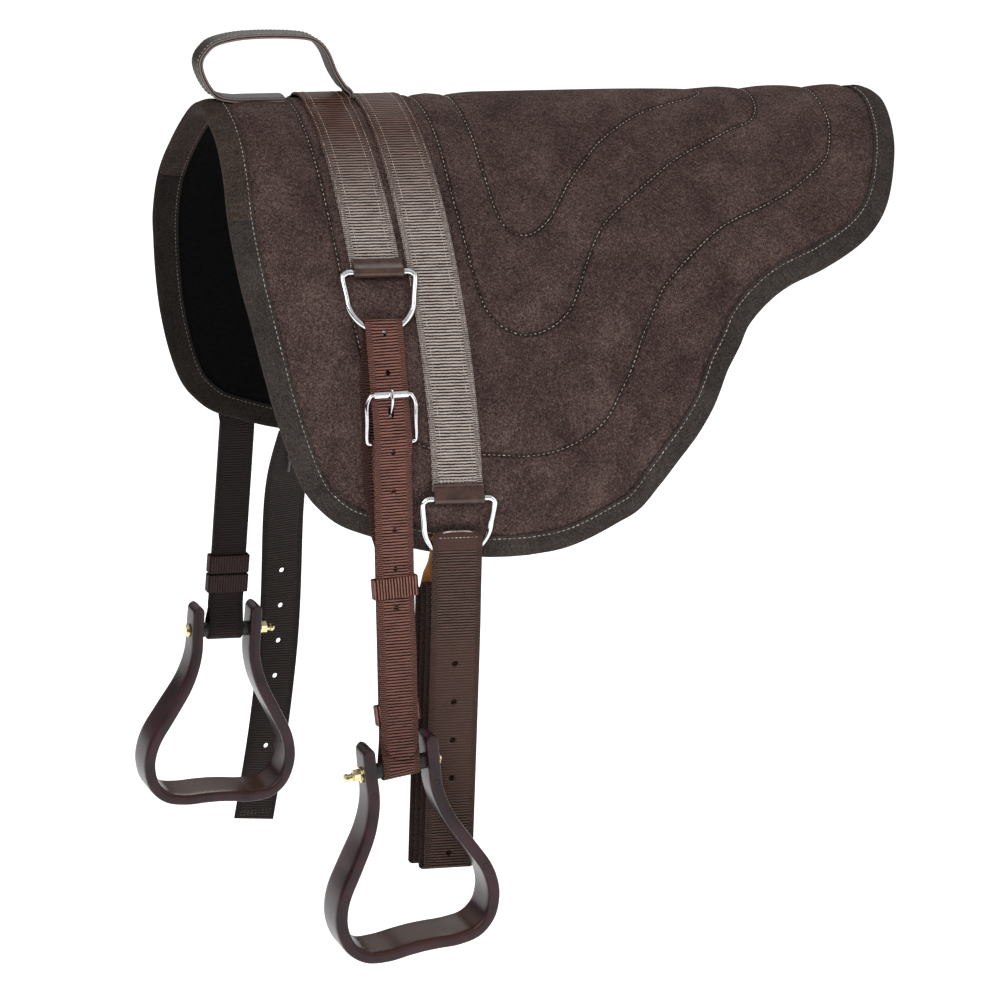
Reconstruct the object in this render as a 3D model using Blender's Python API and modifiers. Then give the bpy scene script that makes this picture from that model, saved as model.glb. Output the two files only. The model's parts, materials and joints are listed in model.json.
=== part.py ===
"""Bareback pad: a quilted suede riding pad that lies over a horse's back, with webbing
bands, rings, a grab handle, two stirrups on buckled straps, a folded latigo and an off billet.

The horse's head is towards -X, its near (left) side is -Y and +Z is up. The origin is on
the pad's underside, on the line of the spine, half way along the pad.
"""

import math

import bmesh
import bpy
import numpy as np
from mathutils import Matrix, Vector

MM = 0.001

# The pad
PAD_LENGTH = 730 * MM
PAD_DROP = 492 * MM
PAD_THICKNESS = 15 * MM
EDGE_THICKNESS = 8 * MM
EDGE_TAPER = 46 * MM
COVER_THICKNESS = 1.8 * MM
LINING_THICKNESS = 3 * MM
LAYER_GAP = 0.4 * MM
SLOPE_STEP = 1 * MM
WELD = 0.01 * MM
GROOVE_RADIUS = 2.4 * MM
GROOVE_DEPTH = 1.1 * MM
ARCH_HALF_SPAN = 202 * MM
ARCH_BULGE_DROP = 346 * MM
ARCH_POWER = 1.725
ARCH_TUCK_SHARE = 0.17
FLARE_RUN = 260 * MM
FLARE_TOP_SHARE = 0.07
FLARE_HEM_SHARE = 0.15
SPINE_FALL = 43.8 * MM

# Leather and webbing
SEAT_GAP = 0.5 * MM
TOUCH_GAP = 0.3 * MM
BINDING_BAND = 20 * MM
BINDING_THICKNESS = 1.6 * MM
BINDING_GAP = 1.1 * MM
BINDING_SEAM_DROP = 157 * MM
GIRTH_WEB_WIDTH = 50.8 * MM
GIRTH_WEB_THICKNESS = 2.5 * MM
FRONT_WEB_SETBACK = 127 * MM
REAR_WEB_SETBACK = 184 * MM
FRONT_RING_DROP = 213 * MM
REAR_RING_DROP = 430 * MM
WEB_END_SETBACK = 6 * MM
CHAPE_THICKNESS = 2 * MM
CHAPE_COVER = 20 * MM

# The rings that the straps hang from
RING_WIRE = 6 * MM
RING_HALF_WIDTH = 36.5 * MM
RING_ARC_RADIUS = 34 * MM
RING_DEPTH = 58 * MM
RING_RIDE = 1.4 * MM
REAR_RING_STAND = 4.8 * MM

# The handle
HANDLE_WIDTH = 25 * MM
HANDLE_LAYER = 2.2 * MM
HANDLE_HEIGHT = 65 * MM
HANDLE_REACH = 155.5 * MM
HANDLE_FRONT_SEWN = 58 * MM
HANDLE_FRONT_SETBACK = 40 * MM
HANDLE_FOOT = 28 * MM
HANDLE_TURN_RADIUS = 1.7 * MM
CREST_MARGIN = 2 * MM
HUG_HEIGHT = 8 * MM

# The stirrup straps
STRAP_WIDTH = 38 * MM
STRAP_THICKNESS = 2.2 * MM
STRAP_LIFT = 10 * MM
STRAP_SPREAD = 36 * MM
STRAP_BOW = 9 * MM
STRAP_EASE = 22 * MM
STRAP_STEP = 16 * MM
STRAP_FINE_STEP = 10 * MM
STRAP_TIP = 26 * MM
STRAP_TIP_SETBACK = 9 * MM
HOLE_PITCH = 38.1 * MM
HOLE_RADIUS = 2.5 * MM
HOLES_ABOVE_TONGUE = 2
HOLES_BELOW_TONGUE = 5
BUCKLE_DROP = 62 * MM
BUCKLE_HEIGHT = 46 * MM
BUCKLE_HALF_WIDTH = 24.5 * MM
BUCKLE_WIRE = 4 * MM
HEEL_OUT = 0.6 * MM
ROLLER_RADIUS = 3.3 * MM
ROLLER_LENGTH = 34 * MM
TONGUE_WIRE = 2.6 * MM
TONGUE_HOLE_DROP = 17 * MM
TONGUE_HOLE_LENGTH = 10 * MM
TONGUE_PLAY = 1 * MM
ROLLER_PLAY = 0.5 * MM
FOLD_LENGTH = 38 * MM
KEEPER_LENGTH = 20 * MM
KEEPER_WALL = 2.2 * MM
KEEPER_PLAY = 0.5 * MM
KEEPER_SIDE_PLAY = 1.8 * MM
KEEPER_GAP = 2 * MM
KEEPER_SLIDE = 45 * MM
LOWER_KEEPER_RISE = 54 * MM
UPPER_KEEPER_RISE = 178 * MM

# The stirrups
STIRRUP_FORWARD_LEFT = 21 * MM
STIRRUP_FORWARD_RIGHT = 38.5 * MM
STIRRUP_SPREAD_LEFT = 70 * MM
STIRRUP_SPREAD_RIGHT = 36 * MM
STIRRUP_STAND_LEFT = ARCH_HALF_SPAN + STIRRUP_SPREAD_LEFT
STIRRUP_STAND_RIGHT = ARCH_HALF_SPAN + STIRRUP_SPREAD_RIGHT
BOLT_DROP_LEFT = 578 * MM
BOLT_DROP_RIGHT = 604 * MM
STIRRUP_LEAN_DEG = 5
STIRRUP_HALF_WIDTH = 79.5 * MM
STIRRUP_HEIGHT = 187 * MM
STIRRUP_ARM = 13 * MM
STIRRUP_TREAD_DEPTH = 50 * MM
STIRRUP_CHAMFER = 2.4 * MM
BOLT_RADIUS = 4 * MM
BOLT_CLEARANCE = 0.4 * MM
BOLT_TIP = 10 * MM
BOLT_HEAD_RADIUS = 7.5 * MM
BOLT_HEAD_HEIGHT = 4 * MM
NUT_RADIUS = 7 * MM
NUT_HEIGHT = 6.5 * MM
WASHER_RADIUS = 8 * MM
WASHER_THICKNESS = 1.6 * MM
SLEEVE_RADIUS = 8 * MM

# The latigo on the near side
LATIGO_LENGTH = 325 * MM
LATIGO_LEAN = 10 * MM
LATIGO_STEP = 4.5 * MM
LATIGO_FOLD_PITCH = 3.4 * MM
LATIGO_FOLD_TOP = 30 * MM
LATIGO_FOLD_STAGGER = 4 * MM
LATIGO_SEWN_RISE = 25 * MM
LATIGO_INSET = 2 * MM
LATIGO_TURN = 50 * MM
LATIGO_HOLE_PITCH = 40 * MM
LATIGO_END_MARGIN = 14 * MM
LATIGO_HOLES = 6
LATIGO_LEATHER_THICKNESS = 2.4 * MM
LATIGO_LEATHER_DROP = 62 * MM
LATIGO_LEATHER_LEAN = 14 * MM
# The off billet on the far side, and the lace that ties it to its ring
BILLET_WIDTH = 48 * MM
BILLET_LENGTH = 472 * MM
BILLET_STAND = 58 * MM
BILLET_LEAN = 44 * MM
BILLET_TOP_GAP = 9 * MM
BILLET_HOLE_PITCH = 41 * MM
BILLET_FIRST_HOLE = 195 * MM
BILLET_HOLES = 6
WEB_HOLE_RADIUS = 3 * MM
LACE_RADIUS = 1.9 * MM
LACE_HOLE_DROP = 14 * MM
LACE_HOLE_PLAY = 1.2 * MM
LACE_SPREAD = 9 * MM
KNOT_GROW = 2.7 * MM
KNOT_DEPTH = 2.6 * MM
KNOT_WIRE = 1.6 * MM
KNOT_DROP = 17 * MM
KNOT_TAIL = 20 * MM
CUT_OVERRUN = 1 * MM

# Rows down each side of the pad, as shares of its drop
ROW_SHARES = (
    0, 0.048, 0.1, 0.16, 0.23, 0.305, 0.385, 0.475, 0.57, 0.665, 0.75, 0.83, 0.89, 0.94, 0.975, 1,
)
# Columns behind the rear band, as shares of the way to the rear edge
REAR_COLUMN_SHARES = (0.2, 0.41, 0.62, 0.82, 1)
EVEN_COLUMN_SHARES = (0, 0.1, 0.2, 0.31, 0.42, 0.54, 0.66, 0.78, 0.89, 1)
# The front and rear edges: (share of the length, share of the drop)
FRONT_EDGE_SHARES = (
    (0.008, 0), (0.008, 0.12), (0.003, 0.215), (-0.004, 0.323), (-0.003, 0.431),
    (0.003, 0.522), (0.011, 0.612), (0.021, 0.699), (0.037, 0.793), (0.055, 0.862),
    (0.077, 0.902), (0.099, 0.927), (0.129, 0.945), (0.185, 0.972), (0.247, 0.992), (0.300, 1),
)
REAR_EDGE_SHARES = (
    (0.996, 0), (0.999, 0.06), (0.989, 0.144), (0.975, 0.211), (0.947, 0.303), (0.918, 0.360),
    (0.881, 0.402), (0.826, 0.443), (0.771, 0.474), (0.732, 0.508), (0.697, 0.553),
    (0.677, 0.598), (0.655, 0.644), (0.641, 0.683), (0.626, 0.722), (0.601, 0.772),
    (0.570, 0.823), (0.544, 0.868), (0.515, 0.917), (0.484, 0.943), (0.440, 0.974),
    (0.401, 0.992), (0.355, 1),
)
# The three sewn channels of the quilting, from the spine down, round and up to it again
OUTER_CHANNEL_SHARES = (
    (0.126, 0), (0.126, 0.15), (0.125, 0.32), (0.127, 0.457), (0.132, 0.51), (0.140, 0.60),
    (0.158, 0.69), (0.190, 0.755), (0.240, 0.785), (0.286, 0.791), (0.321, 0.795),
    (0.355, 0.799), (0.399, 0.791), (0.442, 0.766), (0.473, 0.732), (0.497, 0.681),
    (0.519, 0.630), (0.538, 0.575), (0.559, 0.528), (0.578, 0.484), (0.604, 0.447),
    (0.638, 0.407), (0.679, 0.364), (0.712, 0.341), (0.753, 0.319), (0.801, 0.287),
    (0.849, 0.242), (0.877, 0.203), (0.896, 0.136), (0.901, 0.087), (0.903, 0),
)
MIDDLE_CHANNEL_SHARES = (
    (0.305, 0), (0.308, 0.085), (0.307, 0.167), (0.304, 0.270), (0.307, 0.378), (0.311, 0.451),
    (0.318, 0.504), (0.333, 0.537), (0.356, 0.557), (0.374, 0.561), (0.397, 0.555),
    (0.422, 0.537), (0.442, 0.510), (0.456, 0.476), (0.474, 0.427), (0.490, 0.388),
    (0.512, 0.346), (0.545, 0.307), (0.593, 0.258), (0.645, 0.207), (0.693, 0.173),
    (0.749, 0.134), (0.779, 0.116), (0.797, 0.081), (0.804, 0.04), (0.805, 0),
)
INNER_CHANNEL_SHARES = (
    (0.358, 0), (0.359, 0.146), (0.358, 0.199), (0.360, 0.303), (0.370, 0.346), (0.389, 0.362),
    (0.411, 0.356), (0.436, 0.329), (0.455, 0.295), (0.478, 0.252), (0.504, 0.213),
    (0.541, 0.161), (0.579, 0.122), (0.611, 0.093), (0.634, 0.077), (0.673, 0.055),
    (0.708, 0.037), (0.728, 0.018), (0.734, 0),
)
CHANNEL_STEPS = 3
# The handle's middle line: (share of its reach, share of its height above the spine)
HANDLE_RISE_SHARES = (
    (0.11, 0.135), (0.034, 0.36), (0, 0.62), (0.039, 0.827), (0.129, 0.947), (0.386, 1.0),
    (0.643, 0.975), (0.74, 0.912), (0.817, 0.722), (0.881, 0.43), (0.95, 0.215), (0.992, 0.15),
)
# How far aside the strap's inner layer bows: (share of its length, share of the bow)
BOW_SHARES = ((0, 0), (0.07, 0.55), (0.145, 0.9), (0.35, 1), (0.44, 0.5), (0.49, 0))
# Above this share of the drop the binding's border turns to lie level along the pad
STRAIGHT_BAND_SHARE = 0.1
# The strap's pointed tip: (share of the tip's length, share of the strap's width)
TIP_SHARES = ((0.4, 0.92), (0.75, 0.62), (1, 0.14))
# The buckle's frame: (share of its half width, share of its height below the roller)
BUCKLE_FRAME_SHARES = (
    (-0.75, 0), (-0.86, 0.03), (-1, 0.2), (-1, 0.55), (-1, 0.92), (-0.87, 1),
    (0.87, 1), (1, 0.92), (1, 0.55), (1, 0.2), (0.86, 0.03), (0.75, 0),
)
# The tongue's shank: (share of the way down to its hole, share of its rise to the roller)
TONGUE_SHARES = ((2.05, 0.06), (1.35, 0.02), (1.08, 0.2), (0.58, 0.8), (0.2, 1), (-0.3, 1.02))
# The bolt's necked tip and its domed head: (share of the radius, share of the length)
BOLT_TIP_SHARES = (
    (0, 1), (0.7, 0.94), (1.02, 0.78), (1.02, 0.54), (0.8, 0.46), (0.8, 0.1), (1, 0),
)
BOLT_HEAD_SHARES = ((1, 0), (1, 0.35), (0.6, 0.9), (0, 1))
# The lace's half: (share of the way to its hole or up the wire, out past the wire,
# out past the webbing, share of its spread)
LACE_SHARES = (
    (1.16, 0, -1.3, 0.75), (1.02, 0, -0.55, 0.98), (1, 0, 0.4, 1), (0.86, 0, 1, 1),
    (-0.7, 1.12, 0, 0.95), (0.6, 1.05, 0, 0.85), (1.35, 0.02, 0, 0.65), (0.6, -1.02, 0, 0.5),
    (-0.8, -1.12, 0, 0.42), (-1.9, -1.0, 0, 0),
)
LEATHER_END_SHARES = ((0.6, 1), (0.9, 0.97), (1, 0.9))
# The round ends of the latigo's two sewn layers: (share of the sewn rise, share of the width)
ROUND_END_SHARES = ((1, 0.70), (0.92, 0.90), (0.8, 0.98))
# The off billet's fall: (share of its length, share of its stand, share of its lean)
BILLET_FALL_SHARES = (
    (0, 0, 0), (0.03, 0.09, 0.03), (0.065, 0.3, 0.08), (0.115, 0.55, 0.12), (0.18, 0.77, 0.13),
    (0.27, 0.93, 0.12), (0.38, 1, 0.12), (0.55, 1, 0.22), (0.78, 1, 0.54), (1, 0.97, 1),
)
# The stirrup's middle line from the top of one arm to the middle of the tread:
# (share of the half width, share of the height below the bolt, share of the tread's depth)
STIRRUP_SHARES = (
    (0.41, -0.155, 0.52), (0.41, 0.0, 0.56), (0.41, 0.12, 0.60), (0.455, 0.225, 0.66),
    (0.555, 0.34, 0.74), (0.75, 0.49, 0.82), (0.93, 0.63, 0.84), (1.0, 0.745, 0.84),
    (0.985, 0.84, 0.85), (0.90, 0.925, 0.88), (0.72, 0.985, 0.94), (0.46, 1.0, 1.0),
    (0.2, 0.993, 1.0), (0.0, 0.99, 1.0),
)
STIRRUP_STATIONS = 15
HANDLE_STEP = 11 * MM
HANG_STATIONS = 60
HANG_SMOOTHING = 30
LACE_STATIONS = 44
KNOT_STATIONS = 34

# Colour as linear red, green and blue, then roughness and metallic value
LOOKS = {
    "suede": (0.060, 0.043, 0.040, 0.95, 0),
    "suede_dark": (0.040, 0.034, 0.031, 0.95, 0),
    "foam": (0.55, 0.52, 0.45, 0.9, 0),
    "felt": (0.006, 0.006, 0.007, 1.0, 0),
    "webbing": (0.080, 0.055, 0.045, 0.7, 0),
    "strap": (0.110, 0.042, 0.034, 0.65, 0),
    "leather": (0.070, 0.036, 0.028, 0.5, 0),
    "leather_tan": (0.330, 0.130, 0.035, 0.7, 0),
    "plastic": (0.055, 0.020, 0.022, 0.25, 0),
    "rubber": (0.010, 0.010, 0.010, 0.6, 0),
    "nickel": (0.72, 0.72, 0.70, 0.22, 1),
    "yellow_zinc": (0.62, 0.54, 0.33, 0.3, 1),
}


def clear_scene():
    for thing in list(bpy.data.objects):
        bpy.data.objects.remove(thing, do_unlink=True)


clear_scene()
parts = bpy.data.collections.new("bareback_pad")
cutters = bpy.data.collections.new("cutters")
bpy.context.scene.collection.children.link(parts)
bpy.context.scene.collection.children.link(cutters)


def look(name):
    if name in bpy.data.materials:
        return bpy.data.materials[name]
    red, green, blue, roughness, metallic = LOOKS[name]
    material = bpy.data.materials.new(name)
    material.use_nodes = True
    shader = material.node_tree.nodes["Principled BSDF"]
    shader.inputs["Base Color"].default_value = (red, green, blue, 1)
    shader.inputs["Roughness"].default_value = roughness
    shader.inputs["Metallic"].default_value = metallic
    material.diffuse_color = (red, green, blue, 1)
    return material


def place(obj, material=None, into=None):
    (into or parts).objects.link(obj)
    if material:
        obj.data.materials.append(look(material))
    return obj


def rest_on_axis(obj, point):
    """Moves the object's origin to a point of its joint's axis, leaving its shape where it is."""
    obj.data.transform(Matrix.Translation(-Vector(point)))
    obj.location = Vector(point)


def outward(mesh):
    """Turns a closed mesh's faces outwards."""
    work = bmesh.new()
    work.from_mesh(mesh)
    bmesh.ops.recalc_face_normals(work, faces=work.faces)
    if work.calc_volume(signed=True) < 0:
        bmesh.ops.reverse_faces(work, faces=work.faces)
    work.to_mesh(mesh)
    work.free()


def mesh_object(name, points, faces, material, into=None):
    mesh = bpy.data.meshes.new(name)
    mesh.from_pydata([tuple(p) for p in points], [], faces)
    outward(mesh)
    return place(bpy.data.objects.new(name, mesh), material, into)


def slab(name, upper, lower, material):
    """A closed body between two grids of points, its cells split alike on both sides of the spine."""
    rows, columns = len(upper), len(upper[0])
    points = [p for row in upper for p in row] + [p for row in lower for p in row]
    under = rows * columns
    faces = []
    for j in range(rows - 1):
        for k in range(columns - 1):
            a = j * columns + k
            b, c, d = a + 1, a + columns + 1, a + columns
            halves = [(a, b, c), (a, c, d)] if j >= rows // 2 else [(a, b, d), (b, c, d)]
            faces += halves
            faces += [tuple(under + i for i in reversed(half)) for half in halves]
    rim = [k for k in range(columns)]
    rim += [j * columns + columns - 1 for j in range(1, rows)]
    rim += [(rows - 1) * columns + k for k in range(columns - 2, -1, -1)]
    rim += [j * columns for j in range(rows - 2, 0, -1)]
    for a, b in zip(rim, rim[1:] + rim[:1]):
        faces.append((b, a, under + a, under + b))
    return mesh_object(name, points, faces, material)


def loft(name, rings, material, cyclic=False):
    """A closed body through rings of points, each ring with the same number of points."""
    count = len(rings[0])
    points = [p for ring in rings for p in ring]
    faces = []
    last = len(rings) if cyclic else len(rings) - 1
    for j in range(last):
        a = j * count
        b = (j + 1) % len(rings) * count
        for k in range(count):
            m = (k + 1) % count
            faces.append((a + k, a + m, b + m, b + k))
    if not cyclic:
        faces.append(tuple(range(count)))
        faces.append(tuple(range((len(rings) - 1) * count, len(rings) * count)))
    return mesh_object(name, points, faces, material)


def strip(name, edges, thickness, material):
    """A strap: a strip of quads between its edge lines, made solid."""
    points = [p for places in zip(*edges) for p in places]
    wide = len(edges)
    faces = []
    for i in range(len(edges[0]) - 1):
        for k in range(wide - 1):
            a = i * wide + k
            faces.append((a, a + 1, a + wide + 1, a + wide))
    mesh = bpy.data.meshes.new(name)
    mesh.from_pydata([tuple(p) for p in points], [], faces)
    obj = place(bpy.data.objects.new(name, mesh), material)
    solid = obj.modifiers.new("thickness", "SOLIDIFY")
    solid.thickness = thickness
    solid.offset = 0
    solid.use_even_offset = True
    return obj


def tube(name, route, radius, material, cyclic=False, resolution=2, into=None):
    curve = bpy.data.curves.new(name, "CURVE")
    curve.dimensions = "3D"
    curve.bevel_depth = radius
    curve.bevel_resolution = resolution
    curve.use_fill_caps = not cyclic
    spline = curve.splines.new("POLY")
    spline.points.add(len(route) - 1)
    for slot, point in zip(spline.points, route):
        slot.co = (point[0], point[1], point[2], 1)
    spline.use_cyclic_u = cyclic
    return place(bpy.data.objects.new(name, curve), material, into)


def as_mesh(obj):
    """Turns a curve into a mesh that can be cut or can cut."""
    graph = bpy.context.evaluated_depsgraph_get()
    made = bpy.data.meshes.new_from_object(obj.evaluated_get(graph))
    work = bmesh.new()
    work.from_mesh(made)
    bmesh.ops.remove_doubles(work, verts=work.verts, dist=WELD)
    work.to_mesh(made)
    work.free()
    outward(made)
    name, home = obj.name, obj.users_collection[0]
    matrix = obj.matrix_world.copy()
    bpy.data.objects.remove(obj)
    made.name = name
    new = bpy.data.objects.new(name, made)
    new.matrix_world = matrix
    home.objects.link(new)
    return new


def turned(name, profile, matrix, steps, material, into=None):
    """A body turned about its own Z axis from (radius, height) points, then placed."""
    mesh = bpy.data.meshes.new(name)
    mesh.from_pydata([(r, 0, h) for r, h in profile], [], [(i, i + 1) for i in range(len(profile) - 1)])
    obj = place(bpy.data.objects.new(name, mesh), material, into)
    obj.matrix_world = matrix
    spin = obj.modifiers.new("turn", "SCREW")
    spin.steps = steps
    spin.render_steps = steps
    spin.use_merge_vertices = True
    spin.merge_threshold = WELD
    spin.use_normal_calculate = True
    return obj


def peg(name, start, end, radius, sides=10, into=None, material=None):
    """A plain round bar between two points."""
    start, end = Vector(start), Vector(end)
    work = bmesh.new()
    bmesh.ops.create_cone(
        work, cap_ends=True, segments=sides, radius1=radius, radius2=radius, depth=(end - start).length
    )
    turn = (end - start).to_track_quat("Z", "Y").to_matrix().to_4x4()
    bmesh.ops.transform(work, matrix=Matrix.Translation((start + end) / 2) @ turn, verts=work.verts)
    mesh = bpy.data.meshes.new(name)
    work.to_mesh(mesh)
    work.free()
    outward(mesh)
    return place(bpy.data.objects.new(name, mesh), material, into)


def cut(obj, cutter):
    cutter.hide_render = True
    cutter.display_type = "WIRE"
    step = obj.modifiers.new("cut", "BOOLEAN")
    step.operation = "DIFFERENCE"
    step.solver = "EXACT"
    step.object = cutter


def frame_matrix(origin, x_axis, y_axis, z_axis):
    m = Matrix((x_axis, y_axis, z_axis)).transposed().to_4x4()
    m.translation = Vector(origin)
    return m


def along(line, places):
    """Points of a line at the given distances along it."""
    run = np.concatenate([[0], np.cumsum(np.linalg.norm(np.diff(line, axis=0), axis=1))])
    return np.stack([np.interp(places, run, line[:, i]) for i in range(line.shape[1])], 1), run[-1]


def smooth(points, count):
    """Evenly spaced points on a Catmull-Rom curve through the given ones."""
    pts = np.array([tuple(p) for p in points], float)
    ends = np.vstack([2 * pts[0] - pts[1], pts, 2 * pts[-1] - pts[-2]])
    dense = []
    for i in range(1, len(ends) - 2):
        a, b, c, d = ends[i - 1 : i + 3]
        for t in np.linspace(0, 1, 12, endpoint=False):
            bend = (2 * a - 5 * b + 4 * c - d) * t**2 + (3 * b - a - 3 * c + d) * t**3
            dense.append((2 * b + (c - a) * t + bend) / 2)
    dense = np.array(dense + [pts[-1]])
    run = np.concatenate([[0], np.cumsum(np.linalg.norm(np.diff(dense, axis=0), axis=1))])
    want = np.linspace(0, run[-1], count)
    return np.stack([np.interp(want, run, dense[:, i]) for i in range(dense.shape[1])], 1)


def span(start, end, step):
    count = max(int(math.ceil(abs(end - start) / step)), 1)
    return [start + (end - start) * i / count for i in range(count + 1)]


# The pad's shape: a horse-shoe arch drawn along the falling line of the spine

LENGTH_STEPS = 2000
_drops = np.linspace(0, 1, LENGTH_STEPS) ** 2 * (1.2 * PAD_DROP)


def arch_half_width(drop):
    """Half the arch's width at a depth below the crest, at the front edge."""
    rise = np.clip(1 - drop / ARCH_BULGE_DROP, 0, 1)
    flank = ARCH_HALF_SPAN * np.clip(1 - rise**ARCH_POWER, 0, 1) ** (1 / ARCH_POWER)
    below = (drop - ARCH_BULGE_DROP) / ARCH_BULGE_DROP
    tucked = ARCH_HALF_SPAN * (1 - ARCH_TUCK_SHARE * below**2)
    return np.where(drop < ARCH_BULGE_DROP, flank, tucked)


_runs = np.concatenate(
    [[0], np.cumsum(np.hypot(np.diff(arch_half_width(_drops)), np.diff(_drops)))]
)


def base_point(x, s, side):
    """The pad's outer face at a distance s from the spine, measured down the front arch."""
    drop = float(np.interp(s, _runs, _drops))
    turn = math.sin(math.pi / 2 * min(max((x + PAD_LENGTH / 2) / FLARE_RUN, 0), 1))
    flare_share = FLARE_TOP_SHARE + (FLARE_HEM_SHARE - FLARE_TOP_SHARE) * min(drop / ARCH_BULGE_DROP, 1)
    width = float(arch_half_width(drop)) * (1 + turn * flare_share)
    return Vector((x, side * width, PAD_THICKNESS - SPINE_FALL * x / PAD_LENGTH - drop))


def base_normal(x, s, side):
    step = SLOPE_STEP
    if s < step:
        slope = SPINE_FALL / PAD_LENGTH
        return Vector((slope, 0, 1)).normalized()
    along = base_point(x + step, s, side) - base_point(x - step, s, side)
    down = base_point(x, s + step, side) - base_point(x, s - step, side)
    normal = down.cross(along) if side < 0 else along.cross(down)
    normal.normalize()
    return normal if normal.y * side > 0 else -normal


def from_shares(table):
    return [(PAD_LENGTH * (a - 0.5), PAD_DROP * b) for a, b in table]


_front = smooth(from_shares(FRONT_EDGE_SHARES), 200)
_rear = smooth(from_shares(REAR_EDGE_SHARES), 240)


def edge_x(line, s):
    return float(np.interp(s, line[:, 1], line[:, 0]))


OUTLINE = np.vstack([_front, _rear[::-1]])


def edge_distance(x, s):
    return float(np.hypot(OUTLINE[:, 0] - x, OUTLINE[:, 1] - s).min())


def thickness_at(x, s):
    full = min(edge_distance(x, s) / EDGE_TAPER, 1)
    return EDGE_THICKNESS + (PAD_THICKNESS - EDGE_THICKNESS) * full


FRONT_WEB_X = FRONT_WEB_SETBACK - PAD_LENGTH / 2
REAR_WEB_X = REAR_WEB_SETBACK - PAD_LENGTH / 2
COLUMN_MARGIN = (REAR_WEB_SETBACK - FRONT_WEB_SETBACK - GIRTH_WEB_WIDTH) / 2
ROWS = [PAD_DROP * share for share in ROW_SHARES]
HEM_BLEND_START = PAD_DROP * 0.88
HEM_BLEND_END = PAD_DROP * 0.95


def columns_at(s):
    """The places of the pad's columns of points along one row."""
    first, last = edge_x(_front, s), edge_x(_rear, s)
    band_start = FRONT_WEB_X - GIRTH_WEB_WIDTH / 2 - COLUMN_MARGIN
    between = (FRONT_WEB_X + REAR_WEB_X) / 2
    band_end = REAR_WEB_X + GIRTH_WEB_WIDTH / 2 + COLUMN_MARGIN
    fixed = [first, (first + band_start) / 2, band_start, between, band_end]
    fixed += [band_end + (last - band_end) * share for share in REAR_COLUMN_SHARES]
    even = [first + (last - first) * share for share in EVEN_COLUMN_SHARES]
    blend = min(max((s - HEM_BLEND_START) / (HEM_BLEND_END - HEM_BLEND_START), 0), 1)
    return [a + (b - a) * blend for a, b in zip(fixed, even)]


class Row:
    def __init__(self, s, side):
        self.x = columns_at(s)
        self.s = s
        outer, inner, normals = [], [], []
        for x in self.x:
            base, normal = base_point(x, s, side), base_normal(x, s, side)
            sunk = (PAD_THICKNESS - thickness_at(x, s)) / 2
            outer.append(base - normal * sunk)
            inner.append(base - normal * (PAD_THICKNESS - sunk))
            normals.append(normal)
        self.outer, self.inner, self.normals = outer, inner, normals


HALF = {side: [Row(s, side) for s in ROWS] for side in (-1, 1)}
ALL_ROWS = HALF[-1][::-1] + HALF[1][1:]


def on_pad(x, s, side, lift=0.0, inside=False):
    """A point on the faceted pad, lifted off it along its normal."""
    rows = HALF[side]
    j = min(max(int(np.searchsorted(ROWS, s)) - 1, 0), len(rows) - 2)
    first, second = rows[j], rows[j + 1]
    t = (s - ROWS[j]) / (ROWS[j + 1] - ROWS[j])
    places = [a + (b - a) * t for a, b in zip(first.x, second.x)]
    k = min(max(int(np.searchsorted(places, x)) - 1, 0), len(places) - 2)
    u = min(max((x - places[k]) / (places[k + 1] - places[k]), 0), 1)
    corners = []
    for row in (first, second):
        points = row.inner if inside else row.outer
        corners += [points[i] + row.normals[i] * lift for i in (k, k + 1)]
    a, b, d, c = corners
    if u > t:
        return a + (b - a) * u + (c - b) * t
    return a + (d - a) * t + (c - d) * u


def layer(depth_top, depth_bottom=None, height_bottom=None):
    """Two grids through the pad: depths below its outer face, or a height above its inner face."""
    upper = [[p - n * depth_top for p, n in zip(r.outer, r.normals)] for r in ALL_ROWS]
    if depth_bottom is not None:
        lower = [[p - n * depth_bottom for p, n in zip(r.outer, r.normals)] for r in ALL_ROWS]
    else:
        lower = [[p + n * height_bottom for p, n in zip(r.inner, r.normals)] for r in ALL_ROWS]
    return upper, lower


cover = slab("suede_cover", *layer(0, depth_bottom=COVER_THICKNESS), "suede")
slab(
    "foam_core",
    *layer(COVER_THICKNESS + LAYER_GAP, height_bottom=LINING_THICKNESS + LAYER_GAP),
    "foam",
)
felt_top = [[p + n * LINING_THICKNESS for p, n in zip(r.inner, r.normals)] for r in ALL_ROWS]
felt_bottom = [list(r.inner) for r in ALL_ROWS]
slab("felt_lining", felt_top, felt_bottom, "felt")

# The sewn channels: each a closed loop over the spine, pressed into the cover


def channel_route(table):
    """The channel's points on one side, one where it crosses each row and some between."""
    line = smooth(from_shares(table), LENGTH_STEPS)
    places = [0, len(line) - 1, int(line[:, 1].argmax())]
    for s in ROWS[1:-1]:
        above = line[:, 1] > s
        places += [int(i) for i in np.nonzero(above[1:] != above[:-1])[0]]
    places = sorted(places)
    spread = line[places[-1], 0] - line[places[0], 0]
    kept = [places[0]]
    for i in places[1:]:
        if np.linalg.norm(line[i] - line[kept[-1]]) > spread / LENGTH_STEPS * CHANNEL_STEPS:
            kept.append(i)
    return line[kept]


for name, table in (
    ("channel_outer", OUTER_CHANNEL_SHARES),
    ("channel_middle", MIDDLE_CHANNEL_SHARES),
    ("channel_inner", INNER_CHANNEL_SHARES),
):
    half = channel_route(table)
    lift = GROOVE_RADIUS - GROOVE_DEPTH
    route = [on_pad(x, s, -1, lift) for x, s in half]
    route += [on_pad(x, s, 1, lift) for x, s in half[-2:0:-1]]
    groove = tube(name, route, GROOVE_RADIUS, None, cyclic=True, resolution=0, into=cutters)
    cut(cover, as_mesh(groove))


# The leather binding that wraps the pad's edge


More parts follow.
